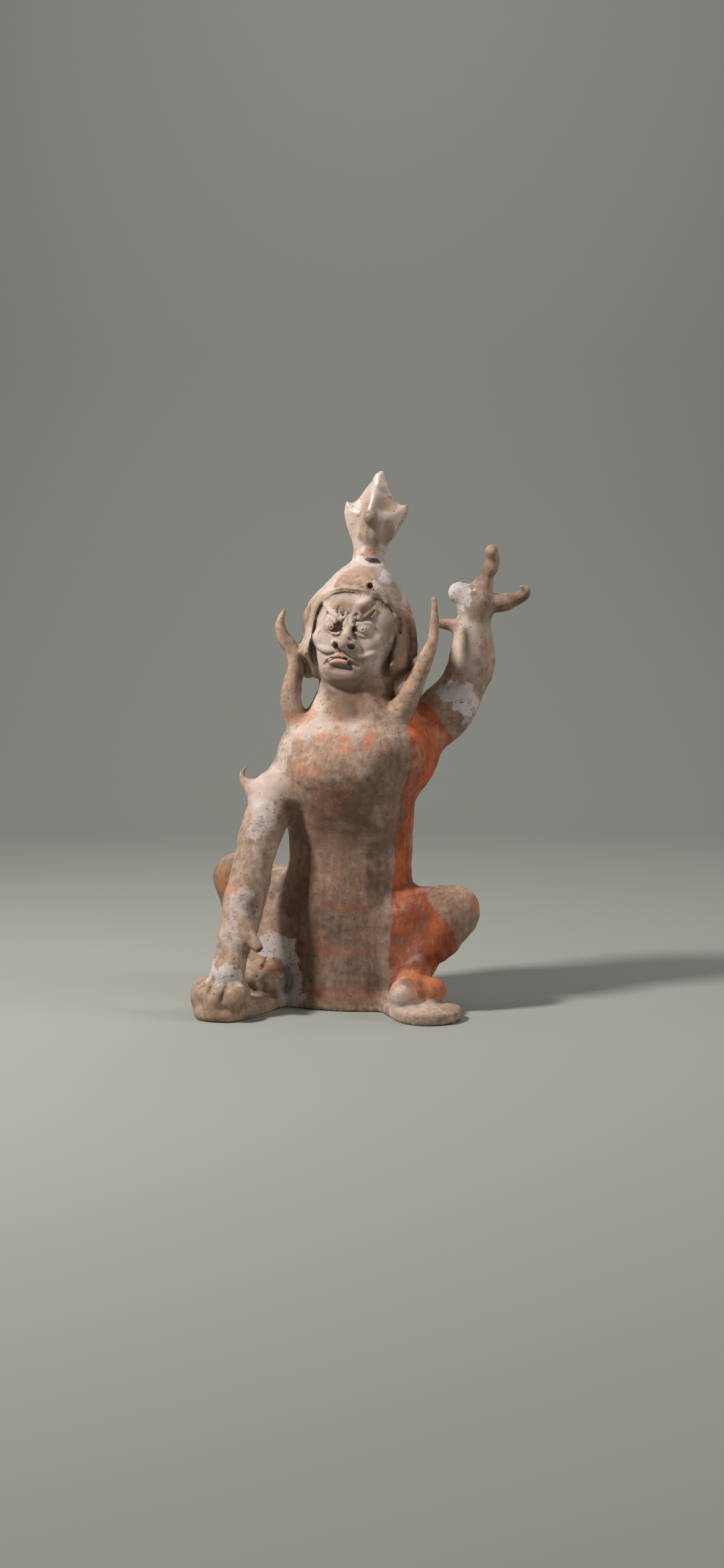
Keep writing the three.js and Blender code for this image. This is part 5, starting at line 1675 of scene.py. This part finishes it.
def mesh_object(name: str, places: Array, faces: Array) -> bpy.types.Object:
    """Smooth-shaded object from arrays of places and triangles or squares.

    Args:
        name: The object's name.
        places: Rows of x, y and z in metres.
        faces: Rows of vertex numbers.

    Returns:
        The object, linked into the scene.
    """
    mesh = bpy.data.meshes.new(name)
    corners = faces.shape[1]
    mesh.vertices.add(len(places))
    mesh.vertices.foreach_set("co", places.astype(np.float32).ravel())
    mesh.loops.add(faces.size)
    mesh.loops.foreach_set("vertex_index", faces.astype(np.int32).ravel())
    mesh.polygons.add(len(faces))
    mesh.polygons.foreach_set("loop_start", np.arange(len(faces), dtype=np.int32) * corners)
    mesh.polygons.foreach_set("use_smooth", np.ones(len(faces), bool))
    mesh.update(calc_edges=True)
    mesh.validate()
    made = bpy.data.objects.new(name, mesh)
    bpy.context.scene.collection.objects.link(made)
    return made


Socket = bpy.types.NodeSocket
Value = float | Sequence[float] | Socket
Inputs = dict[str | int, Value]


@dataclass(frozen=True)
class Cloud:
    """Noise stepped from start to end between a low and a high level of it.

    The scale is per metre. A squeeze below one draws the pattern out upright, and warp bends it.
    """

    scale: float
    detail: float
    rough: float
    low: float
    high: float
    start: float = 0.0
    end: float = 1.0
    squeeze: float = 1.0
    warp: float = 0.0


class Wiring:
    """Short ways to add and join nodes in one tree."""

    def __init__(self, tree: bpy.types.NodeTree) -> None:
        """Keeps the tree."""
        self.tree = tree

    def put(self, socket: Socket, value: Value) -> None:
        """Links a socket, or sets its value."""
        if isinstance(value, bpy.types.NodeSocket):
            self.tree.links.new(value, socket)
        else:
            socket.default_value = value

    def node(self, kind: str, inputs: Inputs | None = None, **settings: object) -> bpy.types.Node:
        """Adds a node with its settings and inputs."""
        made = self.tree.nodes.new(kind)
        for name, value in settings.items():
            setattr(made, name, value)
        for key, value in (inputs or {}).items():
            self.put(made.inputs[key], value)
        return made

    def maths(self, operation: str, first: Value, second: Value = 0.0) -> Socket:
        """Result of a Math node."""
        return self.node("ShaderNodeMath", {0: first, 1: second}, operation=operation).outputs[0]

    def times(self, first: Value, second: Value) -> Socket:
        """Product of two values."""
        return self.maths("MULTIPLY", first, second)

    def step(self, value: Value, low: Value, high: Value, start: float = 0.0, end: float = 1.0) -> Socket:
        """Smooth step from start to end while the value goes from low to high."""
        inputs = {"Value": value, "From Min": low, "From Max": high, "To Min": start, "To Max": end}
        return self.node("ShaderNodeMapRange", inputs, interpolation_type="SMOOTHSTEP").outputs[0]

    def vector(self, operation: str, first: Value, second: Value) -> Socket:
        """Result of a Vector Math node with two vectors."""
        return self.node("ShaderNodeVectorMath", {0: first, 1: second}, operation=operation).outputs[0]

    def blend(self, share: Value, below: Value, above: Value, mode: str = "MIX") -> Socket:
        """Colour over colour by a share."""
        made = self.node("ShaderNodeMix", data_type="RGBA", blend_type=mode)
        for name, value in (("Factor_Float", share), ("A_Color", below), ("B_Color", above)):
            socket = next(s for s in made.inputs if s.identifier == name)
            self.put(socket, (*value, 1.0) if isinstance(value, tuple) and len(value) == 3 else value)
        return next(s for s in made.outputs if s.identifier == "Result_Color")

    def noise(
        self, place: Socket, scale: Value, detail: float, rough: float = 0.5, warp: float = 0.0
    ) -> Socket:
        """Noise value at a scale given per metre."""
        inputs = {"Vector": place, "Scale": scale, "Detail": detail, "Roughness": rough, "Distortion": warp}
        return self.node("ShaderNodeTexNoise", inputs).outputs["Fac"]

    def stretched(self, place: Socket, squeeze: float) -> Socket:
        """Coordinates squeezed in height, which draws a pattern on them out upright."""
        return self.node("ShaderNodeMapping", {"Vector": place, "Scale": (1, 1, squeeze)}).outputs[0]

    def cloud(self, place: Socket, cloud: Cloud) -> Socket:
        """The stepped noise of a cloud."""
        own = self.stretched(place, cloud.squeeze) if cloud.squeeze < 1 else place
        level = self.noise(own, cloud.scale, cloud.detail, cloud.rough, cloud.warp)
        return self.step(level, cloud.low, cloud.high, cloud.start, cloud.end)

    def attribute(self, name: str) -> Socket:
        """Value stored on the mesh."""
        return self.node("ShaderNodeAttribute", attribute_name=name).outputs["Fac"]


NUMBER = "NodeSocketFloat"
VECTOR = "NodeSocketVector"


class Group:
    """Shader group with named sockets, while it is wired."""

    def __init__(self, name: str, inputs: dict[str, tuple[str, object]], outputs: Sequence[str]) -> None:
        """Makes the empty group.

        Args:
            name: The group's name.
            inputs: Socket type and default for each input's name.
            outputs: Names of the outputs, all of them numbers.
        """
        self.tree = bpy.data.node_groups.new(name, "ShaderNodeTree")
        for label, (kind, default) in inputs.items():
            socket = self.tree.interface.new_socket(label, in_out="INPUT", socket_type=kind)
            if default is not None:
                socket.default_value = default
        for label in outputs:
            self.tree.interface.new_socket(label, in_out="OUTPUT", socket_type=NUMBER)
        self.wiring = Wiring(self.tree)
        self.given = self.wiring.node("NodeGroupInput").outputs
        self.result = self.wiring.node("NodeGroupOutput").inputs

    def give(self, label: str, value: Socket) -> None:
        """Sends a value out of the group."""
        self.wiring.put(self.result[label], value)


@dataclass(frozen=True)
class RaggedEdge:
    """Mask with a ragged edge from a depth in millimetres, worn through in places.

    The depth is shifted by noise and stepped across the softness, then the mask is broken where
    a finer noise stays below the wear.
    """

    shift_gain: float = 4
    finer: float = 2.6
    fade: float = 0.06

    def group(self) -> bpy.types.NodeTree:
        """The shader group."""
        inputs = {
            "Vector": (VECTOR, None),
            "Depth": (NUMBER, 0.0),
            "Softness": (NUMBER, 1.0),
            "Ragged": (NUMBER, 2.0),
            "Scale": (NUMBER, 60.0),
            "Wear": (NUMBER, 0.0),
        }
        group = Group("ragged edge", inputs, ["Mask"])
        w, given = group.wiring, group.given
        place, scale, wear = given["Vector"], given["Scale"], given["Wear"]
        shift = w.maths("SUBTRACT", w.noise(place, scale, detail=5, rough=0.62), 0.5)
        depth = w.maths("ADD", given["Depth"], w.times(shift, w.times(given["Ragged"], self.shift_gain)))
        mask = w.step(depth, w.times(given["Softness"], -1.0), given["Softness"])
        fine = w.noise(place, w.times(scale, self.finer), detail=6, rough=0.68)
        worn = w.step(fine, w.maths("SUBTRACT", wear, self.fade), w.maths("ADD", wear, self.fade))
        group.give("Mask", w.times(mask, worn))
        return group.tree


@dataclass(frozen=True)
class BrushDab:
    """Mask of a box-shaped brush dab with soft bent sides, and noise in its strength."""

    bend_scale: float = 160
    bend: float = 0.006
    side: tuple[float, float] = (1.25, 0.75)
    bristles: Cloud = Cloud(260, 5, 0.7, 0.36, 0.6, 0.25)

    def group(self) -> bpy.types.NodeTree:
        """The shader group."""
        inputs = {
            "Vector": (VECTOR, None),
            "Centre": (VECTOR, (0, 0, 0)),
            "Half": (VECTOR, (0.01, 0.05, 0.004)),
            "Strength": (NUMBER, 1.0),
        }
        group = Group("brush dab", inputs, ["Mask"])
        w, given = group.wiring, group.given
        place = given["Vector"]
        noise = w.node("ShaderNodeTexNoise", {"Vector": place, "Scale": self.bend_scale, "Detail": 2.0})
        shift = w.vector("SUBTRACT", noise.outputs["Color"], (0.5, 0.5, 0.5))
        nudge = w.node("ShaderNodeVectorMath", {0: shift, "Scale": self.bend}, operation="SCALE")
        away = w.vector("SUBTRACT", w.vector("ADD", place, nudge.outputs[0]), given["Centre"])
        share = w.vector("DIVIDE", away, given["Half"])
        mask = given["Strength"]
        for part in w.node("ShaderNodeSeparateXYZ", {0: share}).outputs:
            mask = w.times(mask, w.step(w.maths("ABSOLUTE", part), *self.side))
        group.give("Mask", w.times(mask, w.cloud(place, self.bristles)))
        return group.tree


@dataclass(frozen=True)
class Grain:
    """Fired clay's fine surface: lumps, grit and pores. Scales are per metre.

    A pore lies in each cell whose random level passes the choice, and deepens to its middle.
    """

    lump_scale: float = 130
    grit_scale: float = 900
    pore_scale: float = 230
    choice: tuple[float, float] = (0.80, 0.86)
    wall: tuple[float, float] = (0.26, 0.10)

    def group(self) -> bpy.types.NodeTree:
        """The shader group, which gives the height in millimetres and the mask of the pores."""
        inputs = {
            "Vector": (VECTOR, None),
            "Lumps": (NUMBER, 0.4),
            "Grit": (NUMBER, 0.08),
            "Pores": (NUMBER, 0.5),
        }
        group = Group("clay grain", inputs, ["Height", "Pore"])
        w, given = group.wiring, group.given
        place = given["Vector"]
        lumps = w.times(w.noise(place, self.lump_scale, detail=4, rough=0.55), given["Lumps"])
        grit = w.times(w.noise(place, self.grit_scale, detail=4, rough=0.6), given["Grit"])
        cells = w.node("ShaderNodeTexVoronoi", {"Vector": place, "Scale": self.pore_scale}).outputs
        level = w.node("ShaderNodeSeparateColor", {0: cells["Color"]}).outputs[0]
        pit = w.times(w.step(cells["Distance"], *self.wall), w.step(level, *self.choice))
        height = w.maths("SUBTRACT", w.maths("ADD", lumps, grit), w.times(pit, given["Pores"]))
        group.give("Height", height)
        group.give("Pore", pit)
        return group.tree


@dataclass(frozen=True)
class Dab:
    """Faint brush dab on the front, in drawn millimetres above the slab."""

    centre: Vec
    half: Vec
    strength: float


@dataclass(frozen=True)
class Coat:
    """How one kind of mark shows.

    Soft is half the width of its edge and ragged how far noise moves the edge, in millimetres.
    Scale is that noise's, per metre. Wear is the level of a finer noise below which the mark is
    gone, and share how much of it covers what lies below.
    """

    name: str
    paint: Vec
    soft: float
    ragged: float
    scale: float
    wear: float
    share: float


@dataclass(frozen=True)
class DirtAndShade:
    """Darkening in pinches and hollows, partly grime and partly painted shade; dark pores, smoky specks and
    pale rubbed edges.

    Each step goes from its first level to its second, and the shares are how much each covers.
    """

    # Dark colour for grime and for the painted shade in pinches and hollows.
    earth_and_shade: Vec = (0.055, 0.038, 0.028)
    mess_scale: float = 65
    pinch: tuple[float, float] = (0.25, 0.9)
    pinch_share: float = 0.5
    hollow: tuple[float, float] = (0.25, 0.95)
    hollow_mess: float = 0.3
    hollow_share: float = 0.45
    smoke: tuple[float, float] = (0.56, 0.78)
    smoke_clouds: Cloud = Cloud(14, 3, 0.5, 0.42, 0.62)
    smoke_share: float = 0.45
    edge: tuple[float, float] = (0.12, 0.6)
    rubbed: tuple[float, float] = (0.62, 0.4)
    rubbed_share: float = 0.3
    pore_share: float = 0.75

    def over(self, w: Wiring, place: Socket, colour: Socket, pore: Socket, pale: Vec) -> Socket:
        """The colour with grime and painted shade on it.

        Args:
            w: The material's wiring.
            place: Object coordinates.
            colour: What the dirt lies on.
            pore: Mask of the pores.
            pale: Colour of the rubbed edges.

        Returns:
            The dirty colour.
        """
        mess = w.noise(place, self.mess_scale, detail=6, rough=0.65)
        deep = w.maths("ADD", w.attribute("hollow"), w.times(mess, self.hollow_mess))
        smoke = w.times(w.step(mess, *self.smoke), w.cloud(place, self.smoke_clouds))
        rubbed = w.times(w.step(w.attribute("edge"), *self.edge), w.step(mess, *self.rubbed))
        # Pinches and hollows are darkened partly as grime and partly as painted shade in creases and
        # recesses.
        for mask, share, paint in (
            (w.step(w.attribute("pinch"), *self.pinch), self.pinch_share, self.earth_and_shade),
            (w.step(deep, *self.hollow), self.hollow_share, self.earth_and_shade),
            (smoke, self.smoke_share, self.earth_and_shade),
            (rubbed, self.rubbed_share, pale),
            (pore, self.pore_share, self.earth_and_shade),
        ):
            colour = w.blend(w.times(mask, share), colour, paint)
        return colour


@dataclass(frozen=True)
class PaintedClay:
    """Low-fired buff clay with worn slip, orange paint, red dabs, plaster, grime and painted shade."""

    metre: float
    warm: Vec = (0.40, 0.245, 0.165)
    buff: Vec = (0.46, 0.32, 0.23)
    grey: Vec = (0.23, 0.175, 0.14)
    cold_slip: Vec = (0.45, 0.37, 0.325)
    deep_orange: Vec = (0.30, 0.064, 0.020)
    red: Vec = (0.52, 0.15, 0.075)
    painted_shade_tint: Vec = (0.58, 0.53, 0.50)
    pale: Vec = (0.50, 0.43, 0.385)
    roughness: float = 0.86
    refraction: float = 1.45
    painted_shade_edge: tuple[float, float] = (-16, 12)
    buff_clouds: Cloud = Cloud(9, 4, 0.6, 0.36, 0.64)
    grey_clouds: Cloud = Cloud(17, 5, 0.6, 0.46, 0.66, warp=0.4)
    grey_share: float = 0.5
    mottles: Cloud = Cloud(120, 6, 0.68, 0.32, 0.70, 1.14, 0.66)
    streaks: Cloud = Cloud(190, 4, 0.6, 0.3, 0.7, 0.82, 1.10, 0.14)
    slip_clouds: Cloud = Cloud(40, 4, 0.5, 0.35, 0.65)
    orange_clouds: Cloud = Cloud(34, 6, 0.66, 0.34, 0.60)
    strokes: Cloud = Cloud(170, 5, 0.65, 0.34, 0.5, 0.45, 1.0, 0.12)
    strip_start: tuple[float, float] = (-12, -7)
    strip_end: tuple[float, float] = (0.5, -1)
    strip_clouds: Cloud = Cloud(70, 5, 0.6, 0.42, 0.6)
    strip_share: float = 0.35
    scrape_scale: float = 260
    scrape_squeeze: float = 0.1
    scrape_height: float = 0.22
    break_edge: tuple[float, float] = (-0.5, 1)
    break_scale: float = 150
    break_height: float = 0.5
    dirt_and_shade: DirtAndShade = DirtAndShade()
    slip: Coat = Coat("slip", (0.58, 0.465, 0.40), 10, 10, 26, 0.38, 0.8)
    orange: Coat = Coat("orange", (0.56, 0.118, 0.024), 1.6, 1.6, 90, 0.30, 0.96)
    gloss: Coat = Coat("gloss", (1, 1, 1), 6, 4, 50, 0.35, 0.48)
    coats: Sequence[Coat] = (
        Coat("ochre", (0.27, 0.175, 0.105), 2, 2.6, 70, 0.34, 0.55),
        # Darker tone for the stains and for the painted shade.
        Coat("brown_and_shade", (0.20, 0.115, 0.07), 6, 7, 40, 0.40, 0.66),
        Coat("stain", (0.50, 0.18, 0.08), 5, 7, 60, 0.44, 0.6),
        Coat("worn_plaster", (0.58, 0.53, 0.52), 3, 9, 70, 0.44, 0.5),
        Coat("plaster", (0.58, 0.53, 0.52), 1, 9, 70, 0.40, 0.8),
        Coat("scar", (0.44, 0.30, 0.215), 0.6, 1, 120, 0, 1),
        # Near black for the painted shade in holes and for the dark tips.
        Coat("hole_shade_and_dark_tips", (0.055, 0.038, 0.028), 0.8, 0.4, 150, 0, 0.85),
        Coat("lips", (0.66, 0.33, 0.25), 1, 0.5, 150, 0.30, 0.8),
    )
    dabs: Sequence[Dab] = (
        Dab((-13, -77, 313), (7, 60, 4), 0.65),
        Dab((18, -78, 311), (6, 60, 4), 0.8),
        Dab((45, -72, 313), (6, 60, 4), 0.95),
        Dab((46, -77, 302), (8, 60, 3.5), 0.85),
        Dab((23, -84, 298), (9, 60, 4), 0.75),
        Dab((9, -57, 338), (16, 60, 2.5), 0.55),
        Dab((-27, -86, 271), (20, 60, 8), 0.35),
        Dab((3, -82, 236), (20, 60, 16), 0.45),
        Dab((25, -72, 104), (18, 60, 4), 0.65),
        Dab((-8, -72, 107), (16, 60, 4), 0.4),
        Dab((10, -78, 51), (34, 60, 5), 0.55),
        Dab((-18, -78, 62), (14, 60, 4), 0.4),
        Dab((12, -85, -2), (50, 60, 7), 0.5),
    )

    def material(self) -> bpy.types.Material:
        """The whole finish as one material."""
        made = bpy.data.materials.new("painted clay")
        made.use_nodes = True
        made.node_tree.nodes.clear()
        w = Wiring(made.node_tree)
        ragged = RaggedEdge().group()
        place = w.node("ShaderNodeTexCoord").outputs["Object"]
        grain = w.node("ShaderNodeGroup", {"Vector": place}, node_tree=Grain().group())
        slip = w.blend(w.cloud(place, self.slip_clouds), self.slip.paint, self.cold_slip)
        colour = w.blend(self.cover(w, ragged, place, self.slip), self.bare_clay(w, place), slip)
        colour = self.orange_coat(w, ragged, place, colour)
        colour = self.red_dabs(w, place, colour)
        # Painted shade: a darker tint multiplied in where its patches lie.
        colour = w.blend(w.step(w.attribute("painted_shade"), *self.painted_shade_edge), colour, self.painted_shade_tint, "MULTIPLY")
        for coat in self.coats:
            colour = w.blend(self.cover(w, ragged, place, coat), colour, coat.paint)
        colour = self.dirt_and_shade.over(w, place, colour, grain.outputs["Pore"], self.slip.paint)
        shade = w.node("ShaderNodeBsdfPrincipled", {"Base Color": colour, "IOR": self.refraction})
        gloss = self.cover(w, ragged, place, self.gloss)
        w.put(shade.inputs["Roughness"], w.maths("SUBTRACT", self.roughness, gloss))
        height = self.relief(w, place, grain)
        bump = w.node("ShaderNodeBump", {"Strength": 1.0, "Distance": 0.001, "Height": height})
        w.put(shade.inputs["Normal"], bump.outputs[0])
        w.node("ShaderNodeOutputMaterial", {"Surface": shade.outputs[0]})
        return made

    def cover(self, w: Wiring, group: bpy.types.NodeTree, place: Socket, coat: Coat) -> Socket:
        """Share that a coat covers, from its mark's depth on the mesh.

        Args:
            w: The material's wiring.
            group: The ragged edge group.
            place: Object coordinates.
            coat: The coat.

        Returns:
            The ragged and worn mask times the coat's share.
        """
        inputs = {
            "Vector": place,
            "Depth": w.attribute(coat.name),
            "Softness": coat.soft,
            "Ragged": coat.ragged,
            "Scale": coat.scale,
            "Wear": coat.wear,
        }
        mask = w.node("ShaderNodeGroup", inputs, node_tree=group)
        return w.times(mask.outputs["Mask"], coat.share)

    def bare_clay(self, w: Wiring, place: Socket) -> Socket:
        """Buff clay, warm and grey in clouds, with darker mottles and vertical scrape marks."""
        base = w.blend(w.cloud(place, self.buff_clouds), self.warm, self.buff)
        base = w.blend(w.times(w.cloud(place, self.grey_clouds), self.grey_share), base, self.grey)
        tint = w.times(w.cloud(place, self.mottles), w.cloud(place, self.streaks))
        grey = w.node("ShaderNodeCombineColor", {0: tint, 1: tint, 2: tint}).outputs[0]
        return w.blend(1.0, base, grey, "MULTIPLY")

    def orange_coat(self, w: Wiring, ragged: bpy.types.NodeTree, place: Socket, colour: Socket) -> Socket:
        """Orange paint in vertical brush strokes, with a pale strip in front of its edge."""
        seam = w.attribute("seam")
        strip = w.times(w.step(seam, *self.strip_start), w.step(seam, *self.strip_end))
        strip = w.times(strip, w.cloud(place, self.strip_clouds))
        colour = w.blend(w.times(strip, self.strip_share), colour, self.pale)
        paint = w.blend(w.cloud(place, self.orange_clouds), self.orange.paint, self.deep_orange)
        coat = self.cover(w, ragged, place, self.orange)
        return w.blend(w.times(coat, w.cloud(place, self.strokes)), colour, paint)

    def red_dabs(self, w: Wiring, place: Socket, colour: Socket) -> Socket:
        """The faint red dabs on the chest and belly."""
        group = BrushDab().group()
        for dab in self.dabs:
            x, y, z = dab.centre
            inputs = {
                "Vector": place,
                "Centre": [value * self.metre for value in (x, y, z + SLAB_THICKNESS)],
                "Half": [value * self.metre for value in dab.half],
                "Strength": dab.strength,
            }
            mask = w.node("ShaderNodeGroup", inputs, node_tree=group)
            colour = w.blend(mask.outputs["Mask"], colour, self.red)
        return colour

    def relief(self, w: Wiring, place: Socket, grain: bpy.types.Node) -> Socket:
        """Height of the fine relief, in millimetres."""
        upright = w.stretched(place, self.scrape_squeeze)
        scrapes = w.noise(upright, self.scrape_scale, detail=4, rough=0.6)
        grit = w.noise(place, self.break_scale, detail=5, rough=0.6)
        grit = w.times(w.step(w.attribute("scar"), *self.break_edge), grit)
        height = w.maths("ADD", grain.outputs["Height"], w.times(scrapes, self.scrape_height))
        return w.maths("ADD", height, w.times(grit, self.break_height))


@dataclass(frozen=True)
class Lamp:
    """Square area light, placed by two angles from the photograph's view and a distance in metres."""

    name: str
    azimuth: float
    elevation: float
    distance: float
    size: float
    power: float
    colour: Vec


@dataclass(frozen=True)
class Studio:
    """Pale cove, soft lights and the camera at the photograph's angle, in metres and degrees."""

    azimuth: float = 17
    distance: float = 2.4
    camera_height: float = 0.48
    aim: Vec = (0.0143, 0.0044, 0.2705)
    lens: float = 44.3
    sensor: float = 36
    floor_colour: Vec = (0.30, 0.31, 0.28)
    floor_roughness: float = 0.9
    floor_front: float = -6
    floor_half_width: float = 7
    cove_back: float = 1.8
    cove_radius: float = 1.2
    cove_pieces: int = 24
    cove_top: float = 5
    sky: Vec = (0.9, 0.95, 1.0)
    sky_strength: float = 0.05
    lamps: Sequence[Lamp] = (
        Lamp("key", -64, 48, 2.0, 0.26, 54, (1.0, 0.965, 0.93)),
        Lamp("fill", -10, 10, 2.6, 1.6, 3, (0.97, 0.98, 1.0)),
        Lamp("side", 72, 25, 2.2, 0.8, 16, (1.0, 0.98, 0.97)),
        Lamp("back", 150, 45, 2.4, 0.8, 6, (1.0, 0.97, 0.95)),
    )
    wall_lamp: Lamp = Lamp("wall", 180, 72, 2.8, 2.0, 34, (1.0, 1.0, 1.0))
    wall_aim: Vec = (180, 22, 3.4)

    def spot(self, azimuth: float, elevation: float, distance: float) -> Array:
        """Place at an azimuth left to right of the photograph's view, and an elevation."""
        turn, rise = np.radians([self.azimuth + azimuth, elevation])
        way = np.array([np.sin(turn) * np.cos(rise), -np.cos(turn) * np.cos(rise), np.sin(rise)])
        return np.array(self.aim) + way * distance

    def put_up(
        self, name: str, data: bpy.types.ID, place: Sequence[float], target: Sequence[float]
    ) -> bpy.types.Object:
        """Links a camera or light at a place, turned towards a target."""
        made = bpy.data.objects.new(name, data)
        made.location = place
        made.rotation_mode = "QUATERNION"
        made.rotation_quaternion = (Vector(target) - made.location).to_track_quat("-Z", "Y")
        bpy.context.scene.collection.objects.link(made)
        return made

    def camera(self) -> None:
        """Camera that sees the figure as the photograph does."""
        data = bpy.data.cameras.new("camera")
        data.lens = self.lens
        data.sensor_width = self.sensor
        turn = np.radians(self.azimuth)
        x, y = self.distance * np.sin(turn) + self.aim[0], -self.distance * np.cos(turn) + self.aim[1]
        bpy.context.scene.camera = self.put_up("camera", data, (x, y, self.camera_height), self.aim)

    def light(self, lamp: Lamp, target: Sequence[float]) -> None:
        """Puts a lamp up, aimed at a target."""
        data = bpy.data.lights.new(lamp.name, "AREA")
        data.size = lamp.size
        data.energy = lamp.power
        data.color = lamp.colour
        self.put_up(lamp.name, data, self.spot(lamp.azimuth, lamp.elevation, lamp.distance), target)

    def cove(self) -> None:
        """Pale floor that sweeps up behind the figure, as a profile carried sideways.

        The profile runs level, turns up through a quarter circle and goes on upright.
        """
        radius, back = self.cove_radius, self.cove_back
        angles = np.linspace(0, np.pi / 2, self.cove_pieces + 1)
        arc = np.column_stack([back + radius * np.sin(angles), radius * (1 - np.cos(angles))])
        profile = np.vstack([[self.floor_front, 0], [0, 0], arc, [back + radius, self.cove_top]])
        turn = np.radians(self.azimuth)
        ahead = np.array([-np.sin(turn), np.cos(turn), 0])
        side = np.array([np.cos(turn), np.sin(turn), 0]) * self.floor_half_width
        line = profile[:, :1] * ahead + profile[:, 1:] * np.array([0, 0, 1.0])
        count = len(profile)
        at = np.arange(count - 1)
        faces = np.column_stack([at, at + count, at + count + 1, at + 1])
        made = mesh_object("cove", np.vstack([line - side, line + side]), faces)
        paper = bpy.data.materials.new("pale paper")
        paper.use_nodes = True
        shade = paper.node_tree.nodes["Principled BSDF"]
        shade.inputs["Base Color"].default_value = (*self.floor_colour, 1)
        shade.inputs["Roughness"].default_value = self.floor_roughness
        made.data.materials.append(paper)

    def world(self) -> None:
        """Even pale light from all round."""
        world = bpy.data.worlds.new("studio")
        world.use_nodes = True
        ground = world.node_tree.nodes["Background"]
        ground.inputs["Color"].default_value = (*self.sky, 1)
        ground.inputs["Strength"].default_value = self.sky_strength
        bpy.context.scene.world = world

    def build(self) -> None:
        """Camera, cove, key, fill, side and back light, and one on the cove behind."""
        self.camera()
        self.cove()
        for lamp in self.lamps:
            self.light(lamp, self.aim)
        self.light(self.wall_lamp, self.spot(*self.wall_aim))
        self.world()
        view = bpy.context.scene.view_settings
        view.view_transform = "Standard"
        view.exposure = 0.0


def main() -> None:
    """Builds the figure and the studio, and reports what was made."""
    logging.basicConfig(level=logging.INFO, format="%(name)s: %(message)s")
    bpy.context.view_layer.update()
    low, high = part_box(NODE)
    metre = (high.z - low.z) / (FIGURE_HEIGHT + SLAB_THICKNESS)
    Studio().build()
    figure = ClayFigure(Beast(), metre).build()
    figure.data.materials.clear()
    figure.data.materials.append(PaintedClay(metre).material())
    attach(figure, BODY)
    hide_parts(NODE)
    log.info("%s: %d triangles", figure.name, len(figure.data.polygons))


if __name__ == "__main__":
    main()
